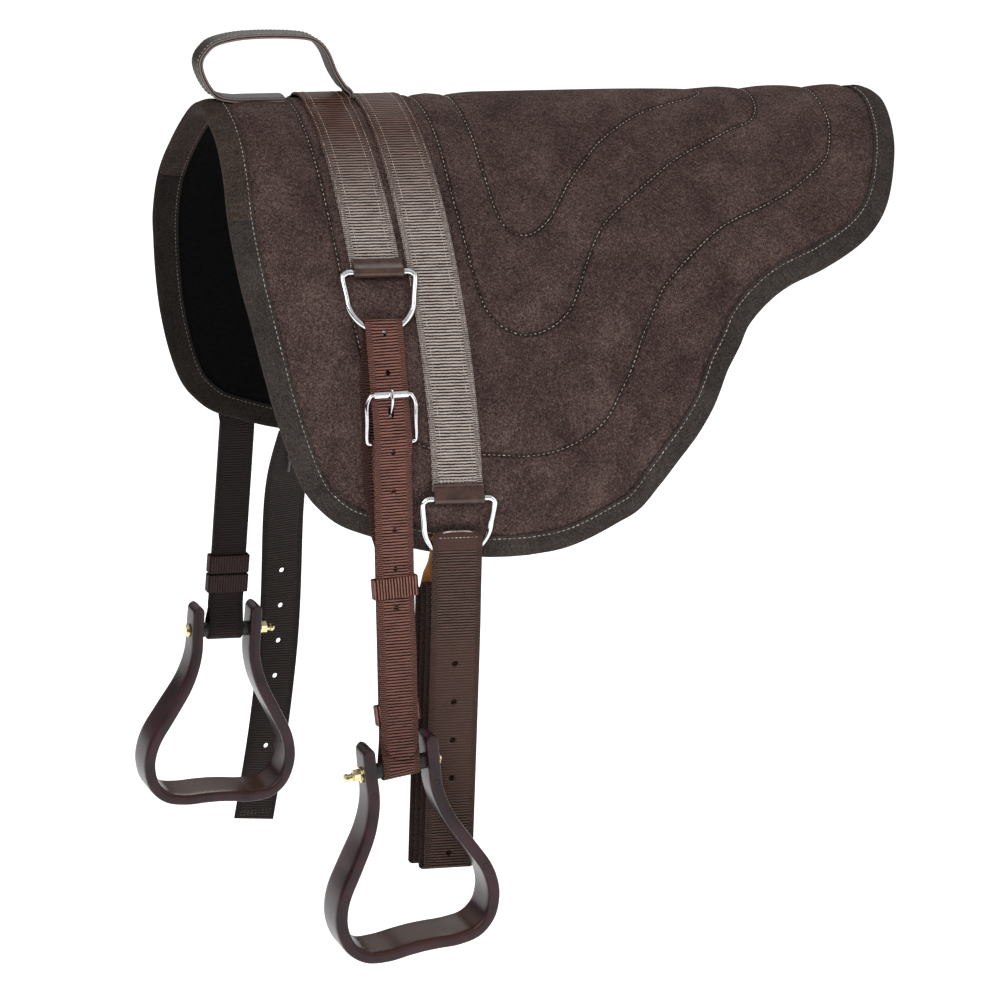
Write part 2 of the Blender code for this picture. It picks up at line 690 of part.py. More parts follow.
def edge_stations(start, end, which):
    """Places on the front or rear edge between two drops, at the rows and in their long gaps."""
    ends = [row.x[0] if which == "front" else row.x[-1] for row in HALF[1]]
    drops = [s for s in ROWS if start < s < end]
    for i, s in enumerate(ROWS[1:]):
        if abs(ends[i + 1] - ends[i]) > BINDING_BAND * 1.5:
            drops.append((ROWS[i] + s) / 2)
    drops = sorted(s for s in drops if start < s < end)
    return [(float(np.interp(s, ROWS, ends)), s) for s in [start, *drops, end]]


def inward_step(x, s):
    """The step in the pattern from the edge to the binding's inner border."""
    i = int(np.hypot(OUTLINE[:, 0] - x, OUTLINE[:, 1] - s).argmin())
    a, b = OUTLINE[max(i - 3, 0)], OUTLINE[min(i + 3, len(OUTLINE) - 1)]
    tangent = (b - a) / np.linalg.norm(b - a)
    normal = np.array([tangent[1], -tangent[0]])
    middle = OUTLINE.mean(axis=0)
    if np.dot(normal, middle - np.array([x, s])) < 0:
        normal = -normal
    normal[1] *= min(s / (STRAIGHT_BAND_SHARE * PAD_DROP), 1)
    return normal * BINDING_BAND


def binding_ring(x, s, side):
    """The binding's section at one place of the edge: its outer and then its inner face."""
    gap, full = BINDING_GAP, BINDING_GAP + BINDING_THICKNESS
    dx, ds = inward_step(x, s)
    tops = [on_pad(x + dx * share, s + ds * share, side) for share in (1, 0.5, 0)]
    bottoms = [on_pad(x + dx * share, s + ds * share, side, inside=True) for share in (0, 0.5, 1)]
    top, bottom = tops[-1], bottoms[0]
    ups = [(t - b).normalized() for t, b in zip(tops, bottoms[::-1])]
    out = top - tops[0]
    out = (out - ups[-1] * out.dot(ups[-1])).normalized()
    ring = [t + up * full for t, up in zip(tops, ups)]
    ring += [top + out * full, bottom + out * full]
    ring += [b - up * full for b, up in zip(bottoms, ups[::-1])]
    ring += [b - up * gap for b, up in zip(bottoms[:0:-1], ups)]
    ring += [bottom - ups[-1] * gap + out * gap, top + ups[-1] * gap + out * gap]
    ring += [t + up * gap for t, up in zip(tops[1::-1], ups[1::-1])]
    return ring


front_rings = []
near_front = edge_stations(0, BINDING_SEAM_DROP - TOUCH_GAP / 2, "front")
for x, s in near_front[:0:-1]:
    front_rings.append(binding_ring(x, s, -1))
for x, s in near_front:
    front_rings.append(binding_ring(x, s, 1))
loft("binding_front", front_rings, "suede")
for side, name in ((-1, "binding_left"), (1, "binding_right")):
    rings = []
    for x, s in edge_stations(BINDING_SEAM_DROP + TOUCH_GAP / 2, PAD_DROP, "front"):
        rings.append(binding_ring(x, s, side))
    for x in columns_at(PAD_DROP)[1:-1]:
        rings.append(binding_ring(x, PAD_DROP, side))
    for x, s in edge_stations(TOUCH_GAP / 2, PAD_DROP, "rear")[::-1]:
        rings.append(binding_ring(x, s, side))
    loft(name, rings, "suede_dark")


# The two webbing bands over the pad; the front one rises over the handle's sewn foot

WEB_LIFT = SEAT_GAP + GIRTH_WEB_THICKNESS / 2
FOOT_RISE = HANDLE_LAYER + TOUCH_GAP
for name, centre_x, ring_drop, rise in (
    ("webbing_front", FRONT_WEB_X, FRONT_RING_DROP, FOOT_RISE),
    ("webbing_rear", REAR_WEB_X, REAR_RING_DROP, 0),
):
    end = ring_drop - WEB_END_SETBACK
    drops = [s for s in ROWS if 0 < s < end] + [end]
    if rise:
        drops = [HANDLE_WIDTH / 2 + CREST_MARGIN] + drops
    signed = [-s for s in reversed(drops)] + [0] + drops
    edges = []
    for half in (-1, 1):
        x = centre_x + half * GIRTH_WEB_WIDTH / 2
        edge = []
        for s in signed:
            over_foot = abs(s) <= HANDLE_WIDTH / 2 + CREST_MARGIN
            edge.append(on_pad(x, abs(s), 1 if s > 0 else -1, WEB_LIFT + (rise if over_foot else 0)))
        edges.append(edge)
    strip(name, edges, GIRTH_WEB_THICKNESS, "webbing")


# The handle: two layers of strap, sewn down in front of and behind the front band

HALF_PAIR = HANDLE_LAYER + TOUCH_GAP / 2
handle_rear_x = (FRONT_WEB_X + REAR_WEB_X) / 2
handle_front_x = handle_rear_x - HANDLE_REACH


def crest_z(x):
    return on_pad(x, 0, 1).z


sewn_start_x = handle_front_x + HANDLE_FRONT_SETBACK
route = [
    (sewn_start_x + HANDLE_FRONT_SEWN, SEAT_GAP + HALF_PAIR),
    (sewn_start_x + HANDLE_FRONT_SEWN / 2, SEAT_GAP + HALF_PAIR),
    (sewn_start_x, SEAT_GAP + HALF_PAIR),
]
route += [
    (handle_front_x + HANDLE_REACH * along, HANDLE_HEIGHT * up) for along, up in HANDLE_RISE_SHARES
]
route.append((handle_rear_x, SEAT_GAP + HALF_PAIR + FOOT_RISE + HANDLE_LAYER))
route.append((handle_rear_x, SEAT_GAP + HANDLE_LAYER + TOUCH_GAP))
fine = smooth(route, LENGTH_STEPS)
lowest = SEAT_GAP + HALF_PAIR
_, total = along(fine, [0])
places = span(0, total - HANDLE_FOOT, HANDLE_STEP)
places += span(total - HANDLE_FOOT, total - HUG_HEIGHT, HANDLE_STEP / 2)[1:]
places += span(total - HUG_HEIGHT, total, HANDLE_TURN_RADIUS)[1:]
middle, _ = along(fine, places)
start_part = middle[:, 0] < FRONT_WEB_X
middle[:, 1] = np.where(start_part, np.maximum(middle[:, 1], lowest), middle[:, 1])
middle[:, 1] += [crest_z(x) for x in middle[:, 0]]
tangents = np.gradient(middle, axis=0)
across = np.stack([-tangents[:, 1], tangents[:, 0]], 1) / np.linalg.norm(tangents, axis=1)[:, None]
if across[len(across) // 2][1] < 0:
    across = -across


def hugging_strip(name, line, thickness, material, width):
    """A strap along (x, z) points whose edges drop with the pad where it lies close to it."""
    edges = []
    for half in (-1, 0, 1):
        edge = []
        for x, z in line:
            up = z - crest_z(x)
            fall = crest_z(x) - on_pad(x, width / 2, 1).z
            hug = min(max(1 - (up - HUG_HEIGHT) / HUG_HEIGHT, 0), 1)
            edge.append(Vector((x, half * width / 2, z - abs(half) * fall * hug)))
        edges.append(edge)
    return strip(name, edges, thickness, material)


centre_shift = (HANDLE_LAYER + TOUCH_GAP) / 2
hugging_strip("handle_outer", middle + across * centre_shift, HANDLE_LAYER, "webbing", HANDLE_WIDTH)
inner_line = list(middle - across * centre_shift)
# The inner layer turns forward at its rear end and lies under the front band
corner_x = FRONT_WEB_X + GIRTH_WEB_WIDTH / 2
foot_up = SEAT_GAP + HANDLE_LAYER / 2
corner_up = foot_up + HANDLE_TURN_RADIUS
while inner_line and inner_line[-1][1] < crest_z(corner_x) + corner_up + HANDLE_TURN_RADIUS:
    inner_line.pop()
down_x = handle_rear_x - centre_shift
for angle in (0, 45, 90):
    a = math.radians(angle)
    x = down_x - HANDLE_TURN_RADIUS + HANDLE_TURN_RADIUS * math.cos(a)
    inner_line.append((x, crest_z(x) + corner_up - HANDLE_TURN_RADIUS * math.sin(a)))
x = down_x - HANDLE_TURN_RADIUS - HANDLE_FOOT
inner_line.append((x, crest_z(x) + foot_up))
hugging_strip("handle_inner", inner_line, HANDLE_LAYER, "webbing", HANDLE_WIDTH)


# Rings and the leather chapes that hold them

OVER_BAND = SEAT_GAP + GIRTH_WEB_THICKNESS + TOUCH_GAP + RING_WIRE / 2
RING_LIFT = OVER_BAND + RING_RIDE


class RingSeat:
    """Where a ring hangs: its bar's middle, its bar's direction, the way down and the way out."""

    def __init__(self, centre_x, drop, side, stand):
        step = RING_HALF_WIDTH
        self.side = side
        self.bar = on_pad(centre_x, drop, side, RING_LIFT)
        ahead = on_pad(centre_x + step, drop, side, RING_LIFT)
        self.along = (ahead - on_pad(centre_x - step, drop, side, RING_LIFT)).normalized()
        foot = on_pad(centre_x, min(drop + RING_DEPTH, PAD_DROP), side, RING_LIFT + stand)
        down = foot - self.bar
        down -= self.along * down.dot(self.along)
        self.down = down.normalized()
        self.out = self.along.cross(self.down)
        if self.out.y * side < 0:
            self.out = -self.out
        self.foot = self.bar + self.down * RING_DEPTH


def ring_route(seat):
    """The ring's middle line: a straight bar, rounded shoulders and a round bow."""
    wide, arc = RING_HALF_WIDTH, RING_ARC_RADIUS
    shoulder = 2 * RING_WIRE
    half = [(-wide + shoulder / 2, 0), (-wide + shoulder / 6, shoulder / 6), (-wide, shoulder / 2)]
    bow = []
    for a in np.linspace(0, math.pi, 13):
        bow.append((-arc * math.cos(a), RING_DEPTH - arc + arc * math.sin(a)))
    points = half + bow + [(-u, v) for u, v in half[::-1]]
    return [seat.bar + seat.along * u + seat.down * v for u, v in points]


def bent_strap(name, middle_line, widths, width_line, thickness, material):
    """A strap along a line of points, with its width along given directions."""
    left, right = [], []
    for point, wide, direction in zip(middle_line, widths, width_line):
        left.append(point - direction * wide / 2)
        right.append(point + direction * wide / 2)
    return strip(name, [left, right], thickness, material)


def chape_route():
    """(out, down) points of the chape's middle line, from its sewn edge round the bar."""
    wrap = RING_WIRE / 2 + TOUCH_GAP + CHAPE_THICKNESS / 2
    over_web = SEAT_GAP + GIRTH_WEB_THICKNESS + TOUCH_GAP + CHAPE_THICKNESS / 2 - RING_LIFT
    points = [(over_web, -CHAPE_COVER), (over_web, -CHAPE_COVER / 2 - RING_WIRE / 2)]
    for angle in np.linspace(math.radians(-50), math.radians(185), 11):
        points.append((wrap * math.cos(angle), wrap * math.sin(angle)))
    return points


def chape_line(seat):
    """The chape leaves the band's outer face, rounds the bar from outside and ends behind it."""
    points = []
    for n, t in chape_route():
        points.append(seat.bar + seat.out * n + seat.down * t)
    return points


seats = {}
for end_name, centre_x, drop, stand in (
    ("front", FRONT_WEB_X, FRONT_RING_DROP, 0),
    ("rear", REAR_WEB_X, REAR_RING_DROP, REAR_RING_STAND),
):
    for side, hand in ((-1, "left"), (1, "right")):
        seat = RingSeat(centre_x, drop, side, stand)
        seats[end_name, hand] = seat
        ring = tube(f"ring_{end_name}_{hand}", ring_route(seat), RING_WIRE / 2, "nickel", cyclic=True)
        rest_on_axis(ring, seat.bar)
        line = chape_line(seat)
        bent_strap(
            f"chape_{end_name}_{hand}",
            line,
            [GIRTH_WEB_WIDTH] * len(line),
            [seat.along] * len(line),
            CHAPE_THICKNESS,
            "leather",
        )


def wire_rise(width):
    """How far up the ring's round foot the wire reaches across a strap of this width."""
    inside = RING_ARC_RADIUS - RING_WIRE / 2
    return inside - math.sqrt(inside**2 - (width / 2) ** 2)


# Lines that straps hang along


def eased(t, knots):
    """A value that moves smoothly between (t, value) knots."""
    if t <= knots[0][0]:
        return knots[0][1]
    for (t0, v0), (t1, v1) in zip(knots, knots[1:]):
        if t <= t1:
            u = (t - t0) / (t1 - t0)
            return v0 + (v1 - v0) * u * u * (3 - 2 * u)
    return knots[-1][1]


def taut(points):
    """The outer hull of (depth, stand) points: how a pulled strap lies over a bulge."""
    kept = []
    for p in sorted(points):
        while len(kept) > 1:
            (x1, y1), (x2, y2) = kept[-2], kept[-1]
            if (x2 - x1) * (p[1] - y1) - (y2 - y1) * (p[0] - x1) < 0:
                break
            kept.pop()
        kept.append(p)
    return kept


class HangLine:
    """A line that layers of strap follow: places on it are (down, out, sideways) distances."""

    def __init__(self, seat, points, last_across, settle):
        line = np.array([tuple(p) for p in points])
        run = np.concatenate([[0], np.cumsum(np.linalg.norm(np.diff(line, axis=0), axis=1))])
        want = np.linspace(0, run[-1], HANG_STATIONS)
        fine = np.stack([np.interp(want, run, line[:, i]) for i in range(3)], 1)
        # Its corners are rounded, so that the layers keep their distance
        for _ in range(HANG_SMOOTHING):
            fine[1:-1] = (fine[:-2] + 2 * fine[1:-1] + fine[2:]) / 4
        self.points = fine
        self.run = np.concatenate([[0], np.cumsum(np.linalg.norm(np.diff(fine, axis=0), axis=1))])
        self.length = float(self.run[-1])
        self.seat = seat
        self.last_across = Vector(last_across)
        self.settle = settle

    def point(self, t):
        return Vector([float(np.interp(t, self.run, self.points[:, i])) for i in range(3)])

    def at(self, t):
        """(point, down, across, out) at a distance t below the ring's foot."""
        inside = min(max(t, 0), self.length)
        step = self.length / HANG_STATIONS
        run_down = self.point(min(inside + step, self.length)) - self.point(max(inside - step, 0))
        share = inside / self.length
        across = (self.seat.along * (1 - share) + self.last_across * share).normalized()
        settled = min(inside / self.settle, 1)
        down = self.seat.down * (1 - settled) + run_down.normalized() * settled
        down = (down - across * down.dot(across)).normalized()
        out = across.cross(down)
        if out.y * self.seat.side < 0:
            out = -out
        return self.point(inside) + down * (t - inside), down, across, out

    def spot(self, t, n, sideways=0.0):
        point, _, across, out = self.at(t)
        return point + out * n + across * sideways

    def box(self, name, t_range, n_range, half_width):
        """A cutter whose sides follow the line."""
        corners = []
        for t in t_range:
            for n, way in ((0, -1), (0, 1), (1, 1), (1, -1)):
                corners.append(self.spot(t, n_range[n], way * half_width))
        faces = [(0, 1, 2, 3), (7, 6, 5, 4)]
        faces += [(k, (k + 1) % 4, (k + 1) % 4 + 4, k + 4) for k in range(4)]
        return mesh_object(name, corners, faces, None, cutters)

    def hole(self, name, t, n, thickness, radius, sideways=0.0):
        """A round cutter through one layer, clear of the layers behind it."""
        reach = thickness / 2 + SEAT_GAP / 2
        start = self.spot(t, n - reach, sideways)
        end = self.spot(t, n + reach + CUT_OVERRUN, sideways)
        return peg(name, start, end, radius, 8, cutters)


# The stirrup straps, their buckles and keepers

PITCH = STRAP_THICKNESS + SEAT_GAP
LAYER_2 = 0.0
LAYER_1 = LAYER_2 - PITCH
LAYER_3 = LAYER_2 + PITCH
AT_RING = RING_WIRE / 2 + SEAT_GAP + STRAP_THICKNESS / 2
AT_SLEEVE = SLEEVE_RADIUS + SEAT_GAP + STRAP_THICKNESS / 2
AT_HEEL = BUCKLE_WIRE / 2 + TOUCH_GAP + STRAP_THICKNESS / 2
TONGUE_EYE = BUCKLE_WIRE / 2 + TOUCH_GAP + TONGUE_WIRE / 2
PAST_EYE = TONGUE_EYE + TONGUE_WIRE / 2 + SEAT_GAP + STRAP_THICKNESS / 2
HEEL_DROP = BUCKLE_DROP + BUCKLE_HEIGHT
FOLD_END = HEEL_DROP + FOLD_LENGTH
ROLLER_OUT = LAYER_3 + STRAP_THICKNESS / 2 + SEAT_GAP + ROLLER_RADIUS
TONGUE_HOLE_AT = BUCKLE_DROP + TONGUE_HOLE_DROP
TAIL_OUT = LAYER_2 + STRAP_THICKNESS + KEEPER_PLAY + KEEPER_WALL + SEAT_GAP


def strap_knots(total, tail_outside):
    """How far out each layer of the strap lies, as (down, out) knots."""
    spread = total - STRAP_SPREAD
    inner = [
        (0, -AT_RING),
        (BUCKLE_DROP, HEEL_OUT - PAST_EYE),
        (FOLD_END + STRAP_THICKNESS, HEEL_OUT - PAST_EYE),
        (FOLD_END + STRAP_EASE, LAYER_1),
        (spread, LAYER_1),
        (total, -AT_SLEEVE),
    ]
    folded = [(HEEL_DROP, HEEL_OUT - AT_HEEL), (HEEL_DROP + STRAP_EASE, LAYER_1)]
    second = [
        (HEEL_DROP, HEEL_OUT + AT_HEEL),
        (HEEL_DROP + STRAP_EASE, LAYER_2),
        (spread, LAYER_2),
        (total, AT_SLEEVE),
    ]
    outer = [
        (0, AT_RING),
        (BUCKLE_DROP - STRAP_EASE, LAYER_3),
        (BUCKLE_DROP + ROLLER_RADIUS, LAYER_3),
        (HEEL_DROP, HEEL_OUT + PAST_EYE),
        (HEEL_DROP + STRAP_EASE, LAYER_3),
    ]
    if tail_outside:
        # The tail lies over the lower keeper, which has room to slide up under it
        passed = total - LOWER_KEEPER_RISE - KEEPER_SLIDE - KEEPER_LENGTH / 2 - KEEPER_PLAY
        outer += [(passed - STRAP_SPREAD, LAYER_3), (passed, TAIL_OUT), (spread, TAIL_OUT)]
        outer += [(total, AT_SLEEVE + TAIL_OUT - LAYER_2)]
    else:
        outer += [(spread, LAYER_3), (total, AT_SLEEVE + PITCH)]
    return inner, folded, second, outer


def strap_route(total, knots):
    """(down, out, sideways, width share) along the whole strap, from its folded end to its tip."""
    inner, folded, second, outer = knots
    bow = [(total * t, -STRAP_BOW * share) for t, share in BOW_SHARES]
    places = span(0, FOLD_END + STRAP_EASE, STRAP_FINE_STEP)
    places += span(places[-1], total - STRAP_SPREAD, STRAP_STEP)[1:]
    places += span(places[-1], total, STRAP_FINE_STEP)[1:]

    def between(start, end):
        low, high = min(start, end), max(start, end)
        margin = STRAP_THICKNESS
        found = [low, *[t for t in places if low + margin < t < high - margin], high]
        return found if end > start else found[::-1]

    route = []
    turned_at = HEEL_DROP + AT_HEEL
    for t in between(FOLD_END, turned_at):
        route.append((t, eased(t, folded), 0, 1))
    for a in np.linspace(math.pi, 0, 7):
        route.append((HEEL_DROP - AT_HEEL * math.sin(a), HEEL_OUT + AT_HEEL * math.cos(a), 0, 1))
    for t in between(turned_at, total - STRAP_THICKNESS):
        route.append((t, eased(t, second), 0, 1))
    for a in np.linspace(0, math.pi, 9):
        route.append((total + AT_SLEEVE * math.sin(a), AT_SLEEVE * math.cos(a), 0, 1))
    for t in between(total - STRAP_THICKNESS, 0):
        route.append((t, eased(t, inner), eased(t, bow), 1))
    top = -wire_rise(STRAP_WIDTH)
    for a in np.linspace(math.pi, 0, 8):
        route.append((top - AT_RING * math.sin(a), AT_RING * math.cos(a), 0, 1))
    tip = total - STRAP_TIP_SETBACK
    for t in between(0, tip - STRAP_TIP):
        route.append((t, eased(t, outer), 0, 1))
    for share, width_share in TIP_SHARES:
        t = tip - STRAP_TIP * (1 - share)
        route.append((t, eased(t, outer), 0, width_share))
    return route


def build_strap(hand, side, seat, bolt, bolt_axis, keepers, tail_outside):
    """The strap, folded round the buckle's heel, the bolt and the ring, with what it carries."""
    clear = seat.foot + seat.down * RING_WIRE * 2
    contact = []
    for s in ROWS:
        x = seat.foot.x + (bolt.x - seat.foot.x) * (s / PAD_DROP) / 2
        p = on_pad(x, s, side, STRAP_LIFT)
        if p.z < clear.z and s < PAD_DROP:
            contact.append((-p.z, abs(p.y)))
    hull = taut(contact + [(-clear.z, abs(clear.y)), (-bolt.z, abs(bolt.y))])
    points = [seat.foot] + [Vector((0, side * stand, -depth)) for depth, stand in hull]
    for p in points[1:]:
        p.x = seat.foot.x + (bolt.x - seat.foot.x) * (seat.foot.z - p.z) / (seat.foot.z - bolt.z)
    line = HangLine(seat, points, bolt_axis, RING_ARC_RADIUS)
    knots = strap_knots(line.length, tail_outside)
    inner, _, second, outer = knots
    route = strap_route(line.length, knots)
    strap = bent_strap(
        f"stirrup_strap_{hand}",
        [line.spot(t, n, sideways) for t, n, sideways, _ in route],
        [STRAP_WIDTH * share for _, _, _, share in route],
        [line.at(t)[2] for t, _, _, _ in route],
        STRAP_THICKNESS,
        "strap",
    )
    # Adjusting holes through the outer layer, and the longer one that the tongue is in
    for k in range(-HOLES_ABOVE_TONGUE, HOLES_BELOW_TONGUE + 1):
        t = TONGUE_HOLE_AT + HOLE_PITCH * k
        n = eased(t, outer)
        if k:
            cut(strap, line.hole(f"hole_{hand}_{k}", t, n, STRAP_THICKNESS, HOLE_RADIUS))
    half, reach = TONGUE_HOLE_LENGTH / 2, STRAP_THICKNESS / 2 + SEAT_GAP
    n = eased(TONGUE_HOLE_AT, outer)
    t_range = (TONGUE_HOLE_AT - half, TONGUE_HOLE_AT + half)
    cut(strap, line.box(f"tongue_hole_{hand}", t_range, (n - reach, n + reach), TONGUE_WIRE))
    # The slot that lets the tongue's eye round the heel bar
    reach = PAST_EYE - STRAP_THICKNESS / 2 - SEAT_GAP / 2
    t_range = (HEEL_DROP - reach - CUT_OVERRUN, HEEL_DROP + reach)
    n_range = (HEEL_OUT - reach, HEEL_OUT + reach)
    cut(strap, line.box(f"heel_slot_{hand}", t_range, n_range, TONGUE_WIRE))

    # Buckle: a bent wire frame, narrower at its roller, and a tongue hinged on its heel
    frame = []
    for wide_share, drop_share in BUCKLE_FRAME_SHARES:
        t = BUCKLE_DROP + BUCKLE_HEIGHT * drop_share
        n = ROLLER_OUT + (HEEL_OUT - ROLLER_OUT) * drop_share
        frame.append(line.spot(t, n, BUCKLE_HALF_WIDTH * wide_share))
    tube(f"buckle_frame_{hand}", frame, BUCKLE_WIRE / 2, "nickel", cyclic=True)
    centre, _, bar, out = line.at(BUCKLE_DROP)
    place_roller = frame_matrix(centre + out * ROLLER_OUT, out, bar.cross(out), bar)
    bore, half = BUCKLE_WIRE / 2 + TOUCH_GAP, ROLLER_LENGTH / 2
    profile = [(ROLLER_RADIUS, half), (ROLLER_RADIUS, -half), (bore, -half), (bore, half)]
    turned(f"buckle_roller_{hand}", profile + profile[:1], place_roller, 12, "nickel")
    tongue = []
    for a in np.linspace(math.radians(325), math.radians(100), 8):
        tongue.append((HEEL_DROP - TONGUE_EYE * math.sin(a), HEEL_OUT + TONGUE_EYE * math.cos(a)))
    rest = ROLLER_OUT + ROLLER_RADIUS + ROLLER_PLAY + TONGUE_WIRE / 2
    under = eased(TONGUE_HOLE_AT, outer) - STRAP_THICKNESS / 2 - TONGUE_PLAY - TONGUE_WIRE / 2
    for drop_share, rise_share in TONGUE_SHARES:
        t = BUCKLE_DROP + TONGUE_HOLE_DROP * drop_share
        tongue.append((t, under + (rest - under) * rise_share))
    spots = [line.spot(t, n) for t, n in tongue]
    made = tube(f"buckle_tongue_{hand}", spots, TONGUE_WIRE / 2, "nickel", resolution=1)
    rest_on_axis(made, line.spot(HEEL_DROP, HEEL_OUT))

    for name, rise, holds_tail in keepers:
        t = line.length - rise
        held = outer if holds_tail else second
        half_length = KEEPER_LENGTH / 2
        top = eased(t, held) + STRAP_THICKNESS / 2 + KEEPER_PLAY
        bottom = eased(t, inner) - STRAP_THICKNESS / 2 - KEEPER_PLAY
        build_keeper(f"keeper_{name}_{hand}", line, t - half_length, t + half_length, bottom, top)
    return line


def build_keeper(name, line, start, end, bottom, top):
    """A flat loop of strap with rounded corners that slides along the layers it holds."""
    half, grow, ease = STRAP_WIDTH / 2 + KEEPER_SIDE_PLAY, KEEPER_WALL, KEEPER_WALL / 2
    outside = [
        (-half - grow, bottom - grow + ease), (-half - grow + ease, bottom - grow),
        (half + grow - ease, bottom - grow), (half + grow, bottom - grow + ease),
        (half + grow, top + grow - ease), (half + grow - ease, top + grow),
        (-half - grow + ease, top + grow), (-half - grow, top + grow - ease),
    ]
    rings = [[line.spot(t, n, u) for u, n in outside] for t in (start, end)]
    keeper = loft(name, rings, "strap")
    t_range = (start - CUT_OVERRUN, end + CUT_OVERRUN)
    cut(keeper, line.box(name + "_opening", t_range, (bottom, top), half))
    rest_on_axis(keeper, line.spot((start + end) / 2, (bottom + top) / 2))


# The stirrups and their bolts


def stirrup_rings(bolt, across, down, out):
    """Sections of the stirrup's hoop, from the top of one arm round to the top of the other."""
    sized = []
    for u, v, d in STIRRUP_SHARES:
        sized.append((STIRRUP_HALF_WIDTH * u, STIRRUP_HEIGHT * v, STIRRUP_TREAD_DEPTH * d))
    half = smooth(sized, STIRRUP_STATIONS)
    path = np.array([(-u, v, d) for u, v, d in half] + [(u, v, d) for u, v, d in half[-2::-1]])
    rings = []
    for i, (u, v, depth) in enumerate(path):
        a, b = path[max(i - 1, 0)], path[min(i + 1, len(path) - 1)]
        tangent = np.array([b[0] - a[0], b[1] - a[1]])
        tangent /= np.linalg.norm(tangent)
        side_way = across * -tangent[1] + down * tangent[0]
        centre = bolt + across * u + down * v
        thick, deep, ease = STIRRUP_ARM / 2, depth / 2, STIRRUP_CHAMFER
        section = [
            (-thick, -deep + ease), (-thick + ease, -deep), (thick - ease, -deep), (thick, -deep + ease),
            (thick, deep - ease), (thick - ease, deep), (-thick + ease, deep), (-thick, deep - ease),
        ]
        rings.append([centre + side_way * p + out * q for p, q in section])
    return rings


def build_stirrup(hand, side, bolt, across, down, nut_way):
    """The stirrup and its bolt; nut_way says to which side along the bolt the nut points."""
    out = across.cross(down)
    if out.y * side < 0:
        out = -out
    body = loft(f"stirrup_{hand}", stirrup_rings(bolt, across, down, out), "plastic")
    arm_middle = STIRRUP_HALF_WIDTH * STIRRUP_SHARES[0][0]
    reach = arm_middle + STIRRUP_ARM
    bore = BOLT_RADIUS + BOLT_CLEARANCE
    cut(body, peg(f"bolt_hole_{hand}", bolt - across * reach, bolt + across * reach, bore, 14, cutters))
    rest_on_axis(body, bolt)
    # The bolt's own Z axis points to the nut
    axis = across * nut_way
    place_bolt = frame_matrix(bolt, out, axis.cross(out), axis)
    face = arm_middle + STIRRUP_ARM / 2 + TOUCH_GAP
    nut_start = face + WASHER_THICKNESS + TOUCH_GAP
    nut_end = nut_start + NUT_HEIGHT
    tip = nut_end + BOLT_TIP
    profile = [(BOLT_RADIUS * r, nut_end + BOLT_TIP * z) for r, z in BOLT_TIP_SHARES]
    profile += [(BOLT_RADIUS, -face)]
    profile += [
        (BOLT_HEAD_RADIUS * r, -face - BOLT_HEAD_HEIGHT * z) for r, z in BOLT_HEAD_SHARES
    ]
    turned(f"bolt_{hand}", profile, place_bolt, 12, "yellow_zinc")

    def collar(name, radius, start, end, steps, material):
        profile = [(radius, end), (radius, start), (bore, start), (bore, end), (radius, end)]
        return turned(name, profile, place_bolt, steps, material)

    collar(f"washer_{hand}", WASHER_RADIUS, face, face + WASHER_THICKNESS, 14, "yellow_zinc")
    nut_ends = (bolt + axis * nut_start, bolt + axis * nut_end)
    nut = peg(f"nut_{hand}", *nut_ends, NUT_RADIUS, 6, parts, "yellow_zinc")
    cut(nut, peg(f"nut_bore_{hand}", bolt + axis * face, bolt + axis * tip, bore, 12, cutters))
    half_sleeve = arm_middle - STIRRUP_ARM / 2 - TOUCH_GAP
    collar(f"sleeve_{hand}", SLEEVE_RADIUS, -half_sleeve, half_sleeve, 14, "rubber")


lean = math.radians(STIRRUP_LEAN_DEG)
strap_lines = {}
for side, hand, forward, stand, drop, lean_way, nut_way, keepers in (
    (
        -1, "left", STIRRUP_FORWARD_LEFT, STIRRUP_STAND_LEFT, BOLT_DROP_LEFT, 1, -1,
        (("upper", UPPER_KEEPER_RISE, True), ("lower", LOWER_KEEPER_RISE, False)),
    ),
    (
        1, "right", STIRRUP_FORWARD_RIGHT, STIRRUP_STAND_RIGHT, BOLT_DROP_RIGHT, -1, 1,
        (
            ("upper", LOWER_KEEPER_RISE + KEEPER_LENGTH + KEEPER_GAP, True),
            ("lower", LOWER_KEEPER_RISE, True),
        ),
    ),
):
    bolt = Vector((FRONT_WEB_X - forward, side * stand, -drop))
    hang = Vector((lean_way * math.sin(lean), 0, -math.cos(lean)))
    axis = Vector((math.cos(lean), 0, lean_way * math.sin(lean)))
    seat = seats["front", hand]
    strap_lines[hand] = build_strap(hand, side, seat, bolt, axis, keepers, hand == "left")
    build_stirrup(hand, side, bolt, axis, hang, nut_way)


# The latigo: folded webbing and its leather back, sewn together over the near rear ring

seat = seats["rear", "left"]
tip = seat.foot + Vector((-LATIGO_LEAN, 0, -LATIGO_LENGTH))
turn = seat.foot + seat.down * RING_WIRE
under_turn = Vector((turn.x, turn.y, turn.z - LATIGO_TURN))
line = HangLine(seat, [seat.foot, turn, under_turn, tip], seat.along, RING_ARC_RADIUS)
web_out = RING_WIRE / 2 + SEAT_GAP + GIRTH_WEB_THICKNESS / 2
leather_out = RING_WIRE / 2 + SEAT_GAP + LATIGO_LEATHER_THICKNESS / 2
sewn_half = (GIRTH_WEB_THICKNESS + TOUCH_GAP) / 2
wire_top = -wire_rise(GIRTH_WEB_WIDTH) - RING_WIRE
front_knots = [(-LATIGO_SEWN_RISE, sewn_half), (wire_top, web_out), (0, web_out)]
front_knots += [(LATIGO_TURN, web_out - LATIGO_INSET)]
stack = web_out - LATIGO_INSET
half_fold = LATIGO_FOLD_PITCH / 2
route = [(-LATIGO_SEWN_RISE * share, 0, wide) for share, wide in ROUND_END_SHARES]
route = [(t, eased(t, front_knots), 0, wide) for t, _, wide in route]
